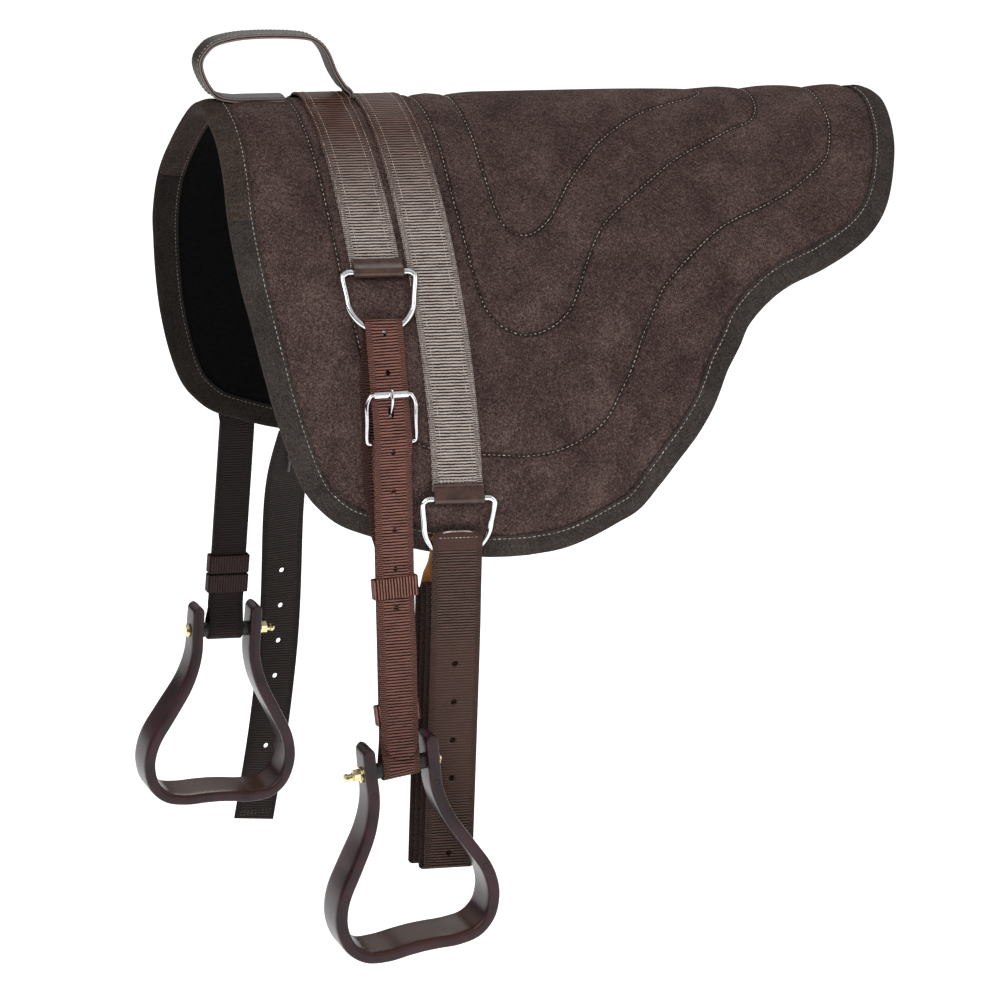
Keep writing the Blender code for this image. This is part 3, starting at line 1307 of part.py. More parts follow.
for t in [wire_top, 0, LATIGO_TURN / 2] + span(LATIGO_TURN, LATIGO_LENGTH, LATIGO_LENGTH / 5):
    route.append((t, eased(t, front_knots), 0, 1))
n, step = stack, 0.0
fold_top, fold_end = LATIGO_FOLD_TOP, LATIGO_LENGTH - LATIGO_FOLD_STAGGER
for turn_at, way, stop in (
    (LATIGO_LENGTH, 1, fold_top),
    (fold_top, -1, fold_end),
    (fold_end, 1, fold_top + LATIGO_FOLD_STAGGER),
):
    for a in np.linspace(0, math.pi, 5)[1:-1]:
        share = (1 - math.cos(a)) / 2
        t = turn_at + way * half_fold * math.sin(a)
        route.append((t, n - LATIGO_FOLD_PITCH * share, step - LATIGO_STEP * share, 1))
    n -= LATIGO_FOLD_PITCH
    step -= LATIGO_STEP
    for t in (turn_at, fold_top + LATIGO_TURN, stop) if way > 0 else (turn_at, LATIGO_TURN * 2, stop):
        route.append((t, n, step, 1))
latigo = bent_strap(
    "latigo_webbing",
    [line.spot(t, n, sideways) for t, n, sideways, _ in route],
    [GIRTH_WEB_WIDTH * wide for _, _, _, wide in route],
    [line.at(t)[2] for t, _, _, _ in route],
    GIRTH_WEB_THICKNESS,
    "webbing",
)
for k in range(LATIGO_HOLES):
    t = LATIGO_LENGTH - LATIGO_END_MARGIN - LATIGO_HOLE_PITCH * k
    n = eased(t, front_knots)
    cut(latigo, line.hole(f"latigo_hole_{k}", t, n, GIRTH_WEB_THICKNESS, WEB_HOLE_RADIUS))
# The leather back runs behind the wire and then behind the folds
behind = stack - 3 * LATIGO_FOLD_PITCH - (GIRTH_WEB_THICKNESS + LATIGO_LEATHER_THICKNESS) / 2 - SEAT_GAP
back_half = (LATIGO_LEATHER_THICKNESS + TOUCH_GAP) / 2
back_knots = [(-LATIGO_SEWN_RISE, -back_half), (wire_top, -leather_out), (RING_WIRE, -leather_out)]
back_knots += [(fold_top - 2 * LATIGO_FOLD_PITCH, behind), (LATIGO_LEATHER_DROP, behind)]
places = [(-LATIGO_SEWN_RISE * share, wide) for share, wide in ROUND_END_SHARES]
places += [(t, 1) for t in (wire_top, 0)]
places += [(t, 1) for t in span(RING_WIRE, fold_top - 2 * LATIGO_FOLD_PITCH, RING_WIRE)]
places += [(LATIGO_LEATHER_DROP * share, wide) for share, wide in LEATHER_END_SHARES]
bent_strap(
    "latigo_leather",
    [
        line.spot(t, eased(t, back_knots), -LATIGO_LEATHER_LEAN * max(t, 0) / LATIGO_LEATHER_DROP)
        for t, _ in places
    ],
    [GIRTH_WEB_WIDTH * wide for _, wide in places],
    [line.at(t)[2] for t, _ in places],
    LATIGO_LEATHER_THICKNESS,
    "leather_tan",
)


# The off billet: webbing tied to the far rear ring with a leather lace

seat = seats["rear", "right"]
points = []
for drop_share, stand_share, lean_share in BILLET_FALL_SHARES:
    away = Vector((-BILLET_LEAN * lean_share, seat.side * BILLET_STAND * stand_share, 0))
    points.append(seat.foot + away - Vector((0, 0, BILLET_LENGTH * drop_share)))
line = HangLine(seat, points, seat.along, RING_ARC_RADIUS)
places = span(BILLET_TOP_GAP, line.length, LATIGO_TURN / 2)
billet = bent_strap(
    "billet_webbing",
    [line.point(t) for t in places],
    [BILLET_WIDTH] * len(places),
    [line.at(t)[2] for t in places],
    GIRTH_WEB_THICKNESS,
    "webbing",
)
for k in range(BILLET_HOLES):
    t = BILLET_FIRST_HOLE + BILLET_HOLE_PITCH * k
    cut(billet, line.hole(f"billet_hole_{k}", t, 0, GIRTH_WEB_THICKNESS * 2, WEB_HOLE_RADIUS))
lace_at = BILLET_TOP_GAP + LACE_HOLE_DROP
lace_hole = LACE_RADIUS + LACE_HOLE_PLAY
for way in (-1, 1):
    name, at = f"lace_hole_{way}", way * LACE_SPREAD
    cut(billet, line.hole(name, lace_at, 0, GIRTH_WEB_THICKNESS * 2, lace_hole, at))
# Each half goes out through its hole, up and over the ring's wire and meets the other inside
round_wire = RING_WIRE / 2 + LACE_RADIUS
on_web = GIRTH_WEB_THICKNESS / 2 + 2 * TOUCH_GAP + LACE_RADIUS
half_lace = []
for drop_share, wire_share, web_share, wide_share in LACE_SHARES:
    t = lace_at * drop_share
    n = round_wire * wire_share + on_web * web_share
    if abs(wire_share) > 0:
        t = -round_wire * drop_share
    half_lace.append(line.spot(t, n, LACE_SPREAD * wide_share))
other_half = []
for drop_share, wire_share, web_share, wide_share in LACE_SHARES[-2::-1]:
    t = lace_at * drop_share
    n = round_wire * wire_share + on_web * web_share
    if abs(wire_share) > 0:
        t = -round_wire * drop_share
    other_half.append(line.spot(t, n, -LACE_SPREAD * wide_share))
lace = smooth(half_lace + other_half, LACE_STATIONS)
tube("billet_lace", lace, LACE_RADIUS, "leather", resolution=1)
# The lace's end: a trefoil knot with a short tail
knot_t, knot_n = lace_at + KNOT_DROP, -on_web - KNOT_DEPTH + 2 * TOUCH_GAP
knot = []
opening = 2 * math.pi / 3
for a in np.linspace(opening + 0.25, opening + 2 * math.pi - 0.25, KNOT_STATIONS):
    u = (math.cos(a) + 2 * math.cos(2 * a)) * KNOT_GROW
    t = (math.sin(a) - 2 * math.sin(2 * a)) * KNOT_GROW
    knot.append(line.spot(knot_t + t, knot_n - math.sin(3 * a) * KNOT_DEPTH, u))
end_u = (math.cos(opening) + 2 * math.cos(2 * opening)) * KNOT_GROW
end_t = (math.sin(opening) - 2 * math.sin(2 * opening)) * KNOT_GROW
for share in (0.1, 0.5, 1):
    knot.append(line.spot(knot_t + end_t + KNOT_TAIL * share, knot_n, end_u * (1 - share / 3)))
tube("billet_knot", knot, KNOT_WIRE, "leather", resolution=1)
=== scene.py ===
import functools
import json
import math
import bmesh
import bpy
import numpy as np
from mathutils import Matrix


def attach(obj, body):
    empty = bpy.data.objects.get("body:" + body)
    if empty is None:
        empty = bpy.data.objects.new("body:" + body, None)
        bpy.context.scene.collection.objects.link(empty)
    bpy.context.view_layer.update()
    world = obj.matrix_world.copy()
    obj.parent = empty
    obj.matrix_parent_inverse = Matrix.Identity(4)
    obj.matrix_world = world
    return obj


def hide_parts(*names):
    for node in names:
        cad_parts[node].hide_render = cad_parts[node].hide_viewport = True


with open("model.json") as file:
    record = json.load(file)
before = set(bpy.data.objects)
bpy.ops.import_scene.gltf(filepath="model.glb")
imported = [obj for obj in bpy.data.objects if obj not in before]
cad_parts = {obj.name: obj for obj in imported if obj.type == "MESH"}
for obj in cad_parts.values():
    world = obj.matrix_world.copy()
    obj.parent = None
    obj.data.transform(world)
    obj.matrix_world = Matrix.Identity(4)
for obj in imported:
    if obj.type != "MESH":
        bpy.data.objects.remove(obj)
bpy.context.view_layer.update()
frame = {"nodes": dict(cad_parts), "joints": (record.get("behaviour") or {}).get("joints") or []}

# A suede bareback pad with webbing bands, stirrups on buckled straps, a latigo and an off billet.
# -X is towards the horse's head, -Y is its near side, +Z is up.

mm = 0.001
joints = {joint["name"]: joint for joint in frame["joints"]}
print("frame:", len(frame["nodes"]), "CAD nodes")

# The camera first: it looks at the near side from a little ahead and above
photoView = dict(
    azimuth=-21.2, pitch=18.0, distance=4400 * mm, lens=152.7, sensor=36.0, clip=60,
    aim=np.array([20 * mm, 0, -320 * mm]), right=-63 * mm, up=-95 * mm,
)


def levelAxes(back):
    # The right and up of a camera or light that looks along -back with its horizon level
    right = np.cross([0, 0, 1], back)
    right = right / np.linalg.norm(right)
    return right, np.cross(back, right)


def standAt(thing, back, place):
    right, up = levelAxes(back)
    columns = np.stack([right, up, back, place], 1)
    thing.matrix_world = Matrix([*columns.tolist(), [0, 0, 0, 1]])
    bpy.context.scene.collection.objects.link(thing)


def makeCamera(view):
    azimuth, pitch = math.radians(view["azimuth"]), math.radians(view["pitch"])
    back = np.array([
        math.sin(azimuth) * math.cos(pitch), -math.cos(azimuth) * math.cos(pitch), math.sin(pitch),
    ])
    right, up = levelAxes(back)
    data = bpy.data.cameras.new("photoCamera")
    data.lens = view["lens"]
    data.sensor_width = view["sensor"]
    data.clip_end = view["clip"]
    camera = bpy.data.objects.new("photoCamera", data)
    standAt(camera, back, view["aim"] + back * view["distance"] + right * view["right"] + up * view["up"])
    bpy.context.scene.camera = camera


makeCamera(photoView)
print("camera: at the photograph's angle")


# Materials. Every pattern is laid out in metres, on Object coordinates or on a piece's own UV map.

def linear(hexColour):
    # sRGB hex to linear red, green, blue and alpha
    parts = [int(hexColour[k:k + 2], 16) / 255 for k in (1, 3, 5)]
    turned = [c / 12.92 if c <= 0.04045 else ((c + 0.055) / 1.055) ** 2.4 for c in parts]
    return (*turned, 1)


def addNode(tree, kind, inputs=(), out=0, stops=(), **settings):
    # inputs holds values to set and sockets to link, by place or by name; stops are a colour ramp's
    node = tree.nodes.new("ShaderNode" + kind)
    for key, value in settings.items():
        setattr(node, key, value)
    for key, value in inputs.items() if isinstance(inputs, dict) else enumerate(inputs):
        if isinstance(value, bpy.types.NodeSocket):
            tree.links.new(value, node.inputs[key])
        else:
            node.inputs[key].default_value = value
    for place, colour in stops[1:-1]:
        node.color_ramp.elements.new(place)
    for k, (place, colour) in enumerate(stops):
        element = node.color_ramp.elements[k]
        element.position, element.color = place, linear(colour)
    return node.outputs[out]


def startMaterial(name, **sockets):
    material = bpy.data.materials.new(name)
    material.use_nodes = True
    for key, value in sockets.items():
        material.node_tree.nodes["Principled BSDF"].inputs[key.replace("_", " ")].default_value = value
    return material, functools.partial(addNode, material.node_tree)


def finishMaterial(material, colour, roughness=None, height=None, strength=1.0, depth=0.0):
    # Links the colour, and where they are given the roughness and a bump this deep
    tree = material.node_tree
    bump = height and addNode(tree, "Bump", {"Strength": strength, "Distance": depth, "Height": height})
    for key, socket in (("Base Color", colour), ("Roughness", roughness), ("Normal", bump)):
        if socket:
            tree.links.new(socket, tree.nodes["Principled BSDF"].inputs[key])
    return material


def suedeMaterial(name, dark, middle, light, seams=(), farShade=None):
    # Split cowhide, napped on its outer face: no gloss, a fine brushed grain and weak blotches
    material, add = startMaterial(
        name, Roughness=0.95, Specular_IOR_Level=0.06, Sheen_Weight=0.04, Sheen_Roughness=0.6,
        Sheen_Tint=linear("#8d7c74"),
    )
    place = add("TexCoord", out="Object")
    blotches = add("TexNoise", {"Vector": place, "Scale": 22, "Detail": 5, "Roughness": 0.6, "Distortion": 0.4})
    brushed = add("TexNoise", {"Vector": place, "Scale": 330, "Detail": 4, "Roughness": 0.75})
    # The nap's specks are 1 mm here, coarser than the real ones, so that they show
    nap = add("TexNoise", {"Vector": place, "Scale": 900, "Detail": 2, "Roughness": 0.7})
    mixed = add("Math", [blotches, 0.2], operation="MULTIPLY")
    mixed = add("Math", [brushed, 0.36, mixed], operation="MULTIPLY_ADD")
    mixed = add("Math", [nap, 0.48, mixed], operation="MULTIPLY_ADD")
    colour = add("ValToRGB", [mixed], stops=[(0.42, dark), (0.53, middle), (0.66, light)])
    height = add("Math", [brushed, 0.5, nap], operation="MULTIPLY_ADD")
    height = add("Math", [height, 0.4], operation="MULTIPLY")
    if seams:
        # Each attribute is the signed distance to one sewn channel: the least of them makes the crease
        least = 1.0
        for seam in seams:
            apart = add("Math", [add("Attribute", out="Fac", attribute_name=seam)], operation="ABSOLUTE")
            least = add("Math", [apart, least], operation="MINIMUM")
        # Near a channel the colour is darkened too: painted shade in the crease
        shade = add("MapRange", {"Value": least, "From Min": 0.5 * mm, "From Max": 3.4 * mm, "To Min": 0.4})
        colour = add("VectorMath", [colour, shade], operation="MULTIPLY")
        valley = add(
            "MapRange", {"Value": least, "From Max": 3.6 * mm, "To Max": 1.3}, interpolation_type="SMOOTHSTEP",
        )
        height = add("Math", [height, valley], operation="ADD")
    if farShade:
        # The far half is shaded: (from, to) across the pad, and how much light is left
        start, end, left = farShade
        farSide = add("SeparateXYZ", [place], out="Y")
        shade = add(
            "MapRange", {"Value": farSide, "From Min": start, "From Max": end, "To Min": 1.0, "To Max": left},
        )
        colour = add("VectorMath", [colour, shade], operation="MULTIPLY")
    return finishMaterial(material, colour, None, height, 0.9, 1 * mm)


def webbingMaterial(name, dark, light, pitch, half, paintedSheen=None):
    # Woven nylon: a rib every few millimetres along the strap, yarns across it and a knotted selvage.
    # The UV map holds (distance along, distance across from the middle) in metres.
    material, add = startMaterial(name, Specular_IOR_Level=0.14, Roughness=0.55)
    uv = add("TexCoord", out="UV")
    along, across = (add("SeparateXYZ", [uv], out=axis) for axis in "XY")
    turns = add("Math", [along, 2 * math.pi / pitch], operation="MULTIPLY")
    wander = add("TexNoise", {"Vector": uv, "Scale": 140, "Detail": 2})
    rib = add("Math", [wander, 2.4, turns], operation="MULTIPLY_ADD")
    rib = add("Math", [rib], operation="SINE")
    rib = add("MapRange", {"Value": rib, "From Min": -1})
    # Yarns 1.2 mm wide cross the rib; each is a short bright dash
    yarn = add("Mapping", {"Vector": uv, "Scale": (1 / (pitch * 0.6), 1 / (1.2 * mm), 1)})
    yarn = add("TexNoise", {"Vector": yarn, "Scale": 1, "Detail": 3, "Roughness": 0.75})
    streak = add("Mapping", {"Vector": uv, "Scale": (1 / (pitch * 1.1), 1 / (16 * mm), 1)})
    streak = add("TexNoise", {"Vector": streak, "Scale": 1, "Detail": 2})
    # The selvage: a small diagonal check, 2.6 mm across
    edge = add("Math", [across], operation="ABSOLUTE")
    edge = add("MapRange", {"Value": edge, "From Min": half - 7 * mm, "From Max": half - 5.5 * mm})
    slant = add("Math", [across, 2 * math.pi / (2.6 * mm)], operation="MULTIPLY")
    rising = add("Math", [turns, 0.5, slant], operation="MULTIPLY_ADD")
    falling = add("Math", [turns, slant], operation="SUBTRACT")
    rising, falling = (add("Math", [wave], operation="SINE") for wave in (rising, falling))
    check = add("Math", [rising, falling, 0.45], operation="MULTIPLY_ADD")
    woven = add("Mix", {0: edge, 2: rib, 3: check}, data_type="FLOAT")
    tone = add("Math", [woven, yarn], operation="MULTIPLY")
    tone = add("Math", [streak, 0.4, tone], operation="MULTIPLY_ADD")
    tone = add("MapRange", {"Value": tone, "From Min": 0.3, "From Max": 0.62})
    colour = add("Mix", {0: tone, 6: linear(dark), 7: linear(light)}, 2, data_type="RGBA")
    if paintedSheen:
        # Away from the middle the ribs are painted pale, a painted sheen for light on the nylon: (from, to, gap
        # colour, rib colour)
        start, end, gapColour, ribColour = paintedSheen
        fade = add("Math", [along], operation="ABSOLUTE")
        fade = add("MapRange", {"Value": fade, "From Min": start, "From Max": end})
        pale = add("Mix", {0: tone, 6: linear(gapColour), 7: linear(ribColour)}, 2, data_type="RGBA")
        colour = add("Mix", {0: fade, 6: colour, 7: pale}, 2, data_type="RGBA")
    # Marks on the mesh: bare is where the ribs are rubbed smooth; shade darkens the colour, painted shade on
    # hidden layers and a darkening towards the stirrup
    bare, shade = (add("Attribute", out="Fac", attribute_name=mark) for mark in ("bare", "shade"))
    colour = add("Mix", {0: bare, 6: colour, 7: linear("#45302a")}, 2, data_type="RGBA")
    colour = add("VectorMath", [colour, add("Math", [1.0, shade], operation="SUBTRACT")], operation="MULTIPLY")
    height = add("Math", [yarn, 0.6, woven], operation="MULTIPLY_ADD")
    return finishMaterial(material, colour, None, height, 0.8, 0.55 * mm)


def leatherMaterial(name, dark, light, roughness, grain=1.2, edge=None):
    # Vegetable-tanned strap leather: pebbled grain, slightly glossy, darker in its creases
    material, add = startMaterial(name, Roughness=roughness, Specular_IOR_Level=0.5)
    place = add("TexCoord", out="Object")
    pebble = add("TexVoronoi", {"Vector": place, "Scale": 1 / (grain * mm), "Randomness": 1})
    patch = add("TexNoise", {"Vector": place, "Scale": 90, "Detail": 5, "Roughness": 0.6})
    mixed = add("Math", [pebble, 0.2, patch], operation="MULTIPLY_ADD")
    colour = add("ValToRGB", [mixed], stops=[(0.38, dark), (0.8, light)])
    if edge:
        # The strap's cut edges show paler: (distance from its middle line, colour)
        start, pale = edge
        far = add("SeparateXYZ", [add("TexCoord", out="UV")], out="Y")
        far = add("Math", [far], operation="ABSOLUTE")
        cutEdge = add("MapRange", {"Value": far, "From Min": start, "From Max": start + 0.3 * mm})
        colour = add("Mix", {0: cutEdge, 6: colour, 7: linear(pale)}, 2, data_type="RGBA")
    return finishMaterial(material, colour, None, pebble, 0.3, 0.2 * mm)


def feltMaterial(name, dark, light):
    # Needled wool felt: matt, almost black, with loose fibres in tufts
    material, add = startMaterial(name, Roughness=1.0, Specular_IOR_Level=0.05)
    place = add("TexCoord", out="Object")
    tufts = add("TexNoise", {
        "Vector": place, "Scale": 240, "Detail": 6, "Roughness": 0.75, "Distortion": 1.2,
    })
    colour = add("ValToRGB", [tufts], stops=[(0.35, dark), (0.7, light)])
    return finishMaterial(material, colour, None, tufts, 0.7, 1.0 * mm)


def metalMaterial(name, colour, tarnish, roughness):
    # Plated steel wire: polished, with faint wear that clouds the reflection
    material, add = startMaterial(name, Metallic=1.0)
    place = add("TexCoord", out="Object")
    wear = add("TexNoise", {"Vector": place, "Scale": 260, "Detail": 5, "Roughness": 0.65})
    plate = add("ValToRGB", [wear], stops=[(0.3, tarnish), (0.55, colour)])
    rough = add("MapRange", {"Value": wear, "To Min": roughness * 0.7, "To Max": roughness * 1.5})
    return finishMaterial(material, plate, rough)


def plasticMaterial(name, dark, light, tread):
    # Injection-moulded nylon: satin, dark oxblood brown, with faint flow marks and a paler tread top, painted
    # light
    material, add = startMaterial(name, IOR=1.5, Specular_IOR_Level=0.28)
    place = add("TexCoord", out="Object")
    flow = add("TexNoise", {"Vector": place, "Scale": 28, "Detail": 3, "Distortion": 0.8})
    colour = add("ValToRGB", [flow], stops=[(0.35, dark), (0.7, light)])
    # The tread's top is mixed towards a paler colour: painted light
    treadGlow = add("Attribute", out="Fac", attribute_name="tread")
    colour = add("Mix", {0: treadGlow, 6: colour, 7: linear(tread)}, 2, data_type="RGBA")
    rough = add("MapRange", {"Value": flow, "To Min": 0.2, "To Max": 0.4})
    skin = add("TexNoise", {"Vector": place, "Scale": 420, "Detail": 2})
    return finishMaterial(material, colour, rough, skin, 0.08, 0.2 * mm)


def threadMaterial(name, dark, light):
    # Bonded polyester thread: some stitches lie deeper in the nap and look darker
    material, add = startMaterial(name, Roughness=0.7)
    depth = add("TexNoise", {"Vector": add("TexCoord", out="Object"), "Scale": 170, "Detail": 1})
    return finishMaterial(material, add("ValToRGB", [depth], stops=[(0.3, dark), (0.7, light)]))


bandPitch, strapPitch, latigoPitch = 3.0 * mm, 2.95 * mm, 2.9 * mm
seamNames = ("seamOuter", "seamMiddle", "seamInner")
looks = dict(
    suede=suedeMaterial("napped_suede", "#221a18", "#423432", "#6e5b55", seamNames),
    suedeFront=suedeMaterial(
        "napped_suede_binding", "#201a18", "#3c332f", "#5d4f47", farShade=(-80 * mm, 70 * mm, 0.55),
    ),
    suedeNear=suedeMaterial("napped_suede_edge", "#211d1b", "#37312f", "#4f4844"),
    # The far edge's binding is a darker copy of the suede: painted shade
    suedeShaded=suedeMaterial("napped_suede_shaded", "#0f0d0c", "#1c1917", "#2e2a26"),
    felt=feltMaterial("needled_wool_felt", "#020203", "#0b0b0d"),
    # The band's ends carry a painted sheen: pale ribs away from the middle
    band=webbingMaterial(
        "ribbed_nylon_webbing", "#170c09", "#624339", bandPitch, 25.4 * mm,
        (60 * mm, 170 * mm, "#17110f", "#b2a49d"),
    ),
    strap=webbingMaterial("woven_strap_webbing", "#0b0403", "#84584d", strapPitch, 19 * mm),
    # The far strap's copy is darker all over: painted shade
    strapShaded=webbingMaterial("woven_strap_webbing_shaded", "#0d0606", "#35221f", strapPitch, 19 * mm),
    latigo=webbingMaterial("latigo_nylon_webbing", "#120a09", "#5b453d", latigoPitch, 25.4 * mm),
    billet=webbingMaterial("billet_nylon_webbing", "#0b0807", "#2e2420", latigoPitch, 24 * mm),
    leather=leatherMaterial("oiled_strap_leather", "#1f120e", "#4d3229", 0.28),
    lace=leatherMaterial("oiled_lace_leather", "#0f0b0a", "#2e2623", 0.35, 0.9),
    handle=leatherMaterial("waxed_handle_leather", "#0c0908", "#241c19", 0.6, 0.9, (12.0 * mm, "#6e5f59")),
    tan=leatherMaterial("natural_latigo_leather", "#6b3d18", "#a06a30", 0.65, 1.6),
    nickel=metalMaterial("nickel_plated_wire", "#e6e6e8", "#c4c4c7", 0.07),
    zinc=metalMaterial("yellow_plated_steel", "#e6d9ac", "#b3a168", 0.18),
    plastic=plasticMaterial("moulded_nylon", "#1d0d11", "#34191f", "#3c241d"),
    rubber=leatherMaterial("black_rubber_sleeve", "#0b0b0b", "#1a1a1a", 0.55, 0.7),
    thread=threadMaterial("bonded_thread", "#5d524b", "#c2b8ae"),
    # A darker copy of the thread; on the rim's inside it stands for painted shade
    threadDark=threadMaterial("bonded_thread_dark", "#3b2f2a", "#6d5d54"),
)
print("materials:", len(looks))


# Shape helpers

def unit(vectors):
    return vectors / np.linalg.norm(vectors, axis=-1, keepdims=True)


def runLength(line):
    return np.concatenate([[0], np.cumsum(np.linalg.norm(np.diff(line, axis=0), axis=1))])


def evenly(line, count, upTo=3):
    # Points at even distances along a line; columns past the third are carried along
    run = runLength(line[:, :upTo])
    want = np.linspace(0, run[-1], count)
    return np.stack([np.interp(want, run, line[:, k]) for k in range(line.shape[1])], 1)


def smoothCurve(points, count, closed=False):
    # Catmull-Rom through the points: half of 2b + (c-a)t + (2a-5b+4c-d)t^2 + (3b-a-3c+d)t^3
    points = np.asarray(points, float)
    if closed:
        ends = np.vstack([points[-1], points, points[0], points[1]])
    else:
        ends = np.vstack([2 * points[0] - points[1], points, 2 * points[-1] - points[-2]])
    t = np.linspace(0, 1, 12, endpoint=False)[None, :, None]
    a, b, c, d = (ends[k:len(ends) - 3 + k][:, None] for k in range(4))
    bend = (2 * a - 5 * b + 4 * c - d) * t**2 + (3 * b - a - 3 * c + d) * t**3
    dense = ((2 * b + (c - a) * t + bend) / 2).reshape(-1, points.shape[1])
    dense = np.vstack([dense, ends[-2] if not closed else points[0]])
    width = points.shape[1]
    return evenly(dense, count + 1, width)[:-1] if closed else evenly(dense, count, width)


def eased(t, knots):
    # Smoothstep from knot to knot: v0 + (v1 - v0) u^2 (3 - 2u)
    knots = np.array(knots, float)
    k = np.clip(np.searchsorted(knots[:, 0], t) - 1, 0, len(knots) - 2)
    u = np.clip((t - knots[k, 0]) / (knots[k + 1, 0] - knots[k, 0]), 0, 1)
    return knots[k, 1] + (knots[k + 1, 1] - knots[k, 1]) * u * u * (3 - 2 * u)


def ramped(value, low, high):
    u = np.clip((value - low) / (high - low), 0, 1)
    return u * u * (3 - 2 * u)


def gridFaces(rows, columns, closeRows=False, closeColumns=False):
    i = np.arange(rows if closeRows else rows - 1)[:, None]
    j = np.arange(columns if closeColumns else columns - 1)[None, :]
    right, below = (j + 1) % columns, (i + 1) % rows
    corners = [i * columns + j, i * columns + right, below * columns + right, below * columns + j]
    return np.stack(np.broadcast_arrays(*corners), -1).reshape(-1, 4)


def makePiece(name, points, faces, look, body, uv=None, replaces=(), extra=(), marks=None):
    # marks are numbers on the points that a material reads, under the name of an attribute
    mesh = bpy.data.meshes.new(name)
    mesh.from_pydata(points.reshape(-1, 3), [], [*faces.tolist(), *extra])
    for mark, values in (marks or {}).items():
        attribute = mesh.attributes.new(mark, "FLOAT", "POINT")
        attribute.data.foreach_set("value", np.ravel(values).astype(np.float32))
    if uv is not None:
        layer = mesh.uv_layers.new(name="UVMap")
        corner = np.empty(len(mesh.loops), np.int32)
        mesh.loops.foreach_get("vertex_index", corner)
        layer.data.foreach_set("uv", uv.reshape(-1, 2)[corner].astype(np.float32).ravel())
    work = bmesh.new()
    work.from_mesh(mesh)
    loose = [v for v in work.verts if not v.link_faces]
    if loose:
        bmesh.ops.delete(work, geom=loose, context="VERTS")
    bmesh.ops.recalc_face_normals(work, faces=work.faces)
    if work.calc_volume(signed=True) < 0:
        bmesh.ops.reverse_faces(work, faces=work.faces)
    work.to_mesh(mesh)
    work.free()
    mesh.polygons.foreach_set("use_smooth", [True] * len(mesh.polygons))
    mesh.materials.append(looks[look])
    piece = bpy.data.objects.new(name, mesh)
    bpy.context.scene.collection.objects.link(piece)
    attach(piece, body)
    if replaces:
        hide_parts(*replaces)
    return piece


def endCaps(stations, ring):
    return [tuple(range(ring)), tuple((stations - 1) * ring + k for k in range(ring))]


def crossedUv(along, across):
    return np.stack(np.broadcast_arrays(along[:, None], across[None, :]), -1)


def skinPiece(name, points, look, body, uv=None, replaces=(), marks=None, closed=False):
    # A grid of (stations, ring) points, closed round the ring and capped at its ends unless it is a loop
    stations, ring = points.shape[:2]
    faces = gridFaces(stations, ring, closed, True)
    return makePiece(
        name, points, faces, look, body, uv, replaces, () if closed else endCaps(stations, ring), marks,
    )


def calm(line, passes):
    # Each inner station moves to half of itself and a quarter of both its neighbours
    for _ in range(passes):
        line[1:-1] = (line[:-2] + 2 * line[1:-1] + line[2:]) / 4


def strapSection(width, thick, columns):
    # The outline of a woven strap: flat faces and half-round edges, as (across, up) points
    reach, round_ = width / 2 - thick / 2, thick / 2
    flat = np.linspace(-reach, reach, columns)
    turn = np.radians(np.linspace(90, -90, 7))[1:-1]
    top = np.stack([flat, np.full(columns, round_)], 1)
    edge = np.stack([reach + round_ * np.cos(turn), round_ * np.sin(turn)], 1)
    return np.vstack([top, edge, top[::-1] * [1, -1], edge[::-1] * [-1, 1]])


def carry(centre, across, out, section, widths=1.0):
    # P(i, j) = centre_i + across_i v_j + out_i n_j, and the UV map is (distance run, v)
    v = np.broadcast_to(section[:, 0], (len(centre), len(section))) * np.reshape(widths, (-1, 1))
    n = np.broadcast_to(section[:, 1], v.shape)
    points = centre[:, None] + across[:, None] * v[..., None] + out[:, None] * n[..., None]
    return points, np.stack([np.broadcast_to(runLength(centre)[:, None], v.shape), v], -1)


def punch(points, uv, faces, holes, columns, ring):
    # Opens holes through a carried strap: faces inside each hole go, the rim is pulled onto the
    # hole's outline and a wall joins the two faces
    stations = points.shape[0]
    keep = np.ones(len(faces), bool)
    walls = []
    edges = (ring - 2 * columns) // 2
    run, across = uv[:, :, 0], uv[:, :, 1]
    for centreRun, centreAcross, radius, stretch in holes:
        rows = np.nonzero(abs(run[:, 0] - centreRun) < radius + stretch + 4 * mm)[0]
        rows = rows[rows < stations - 1]
        middleRun = (run[rows, 0] + run[rows + 1, 0]) / 2 - centreRun
        middleAcross = (across[rows[0], :columns - 1] + across[rows[0], 1:columns]) / 2 - centreAcross
        beyond = np.maximum(abs(middleRun) - stretch, 0)
        inside = np.hypot(beyond[:, None], middleAcross[None, :]) < radius
        marked = {(int(rows[a]), int(b)) for a, b in zip(*np.nonzero(inside))}
        rim = set()
        for i, k in marked:
            keep[i * ring + k] = False
            keep[i * ring + 2 * columns + edges - 2 - k] = False
            for other, ends in (
                ((i - 1, k), ((i, k), (i, k + 1))), ((i + 1, k), ((i + 1, k), (i + 1, k + 1))),
                ((i, k - 1), ((i, k), (i + 1, k))), ((i, k + 1), ((i, k + 1), (i + 1, k + 1))),
            ):
                if other not in marked:
                    rim.update(ends)
                    (a, b), (c, d) = ends
                    under = 2 * columns + edges - 1
                    walls.append((a * ring + b, c * ring + d, c * ring + under - d, a * ring + under - b))
        for i, k in rim:
            du, dv = run[i, 0] - centreRun, across[i, k] - centreAcross
            over = max(abs(du) - stretch, 0) * (1 if du > 0 else -1)
            gap = radius - math.hypot(over, dv)
            size = max(math.hypot(over, dv), 0.1 * mm)
            along = points[min(i + 1, stations - 1)] - points[max(i - 1, 0)]
            along = along / np.linalg.norm(along, axis=-1, keepdims=True)
            side = unit(points[i, columns - 1] - points[i, 0])
            for column in (k, 2 * columns + edges - 1 - k):
                points[i, column] += along[column] * (over / size * gap) + side * (dv / size * gap)
    return faces[keep], walls


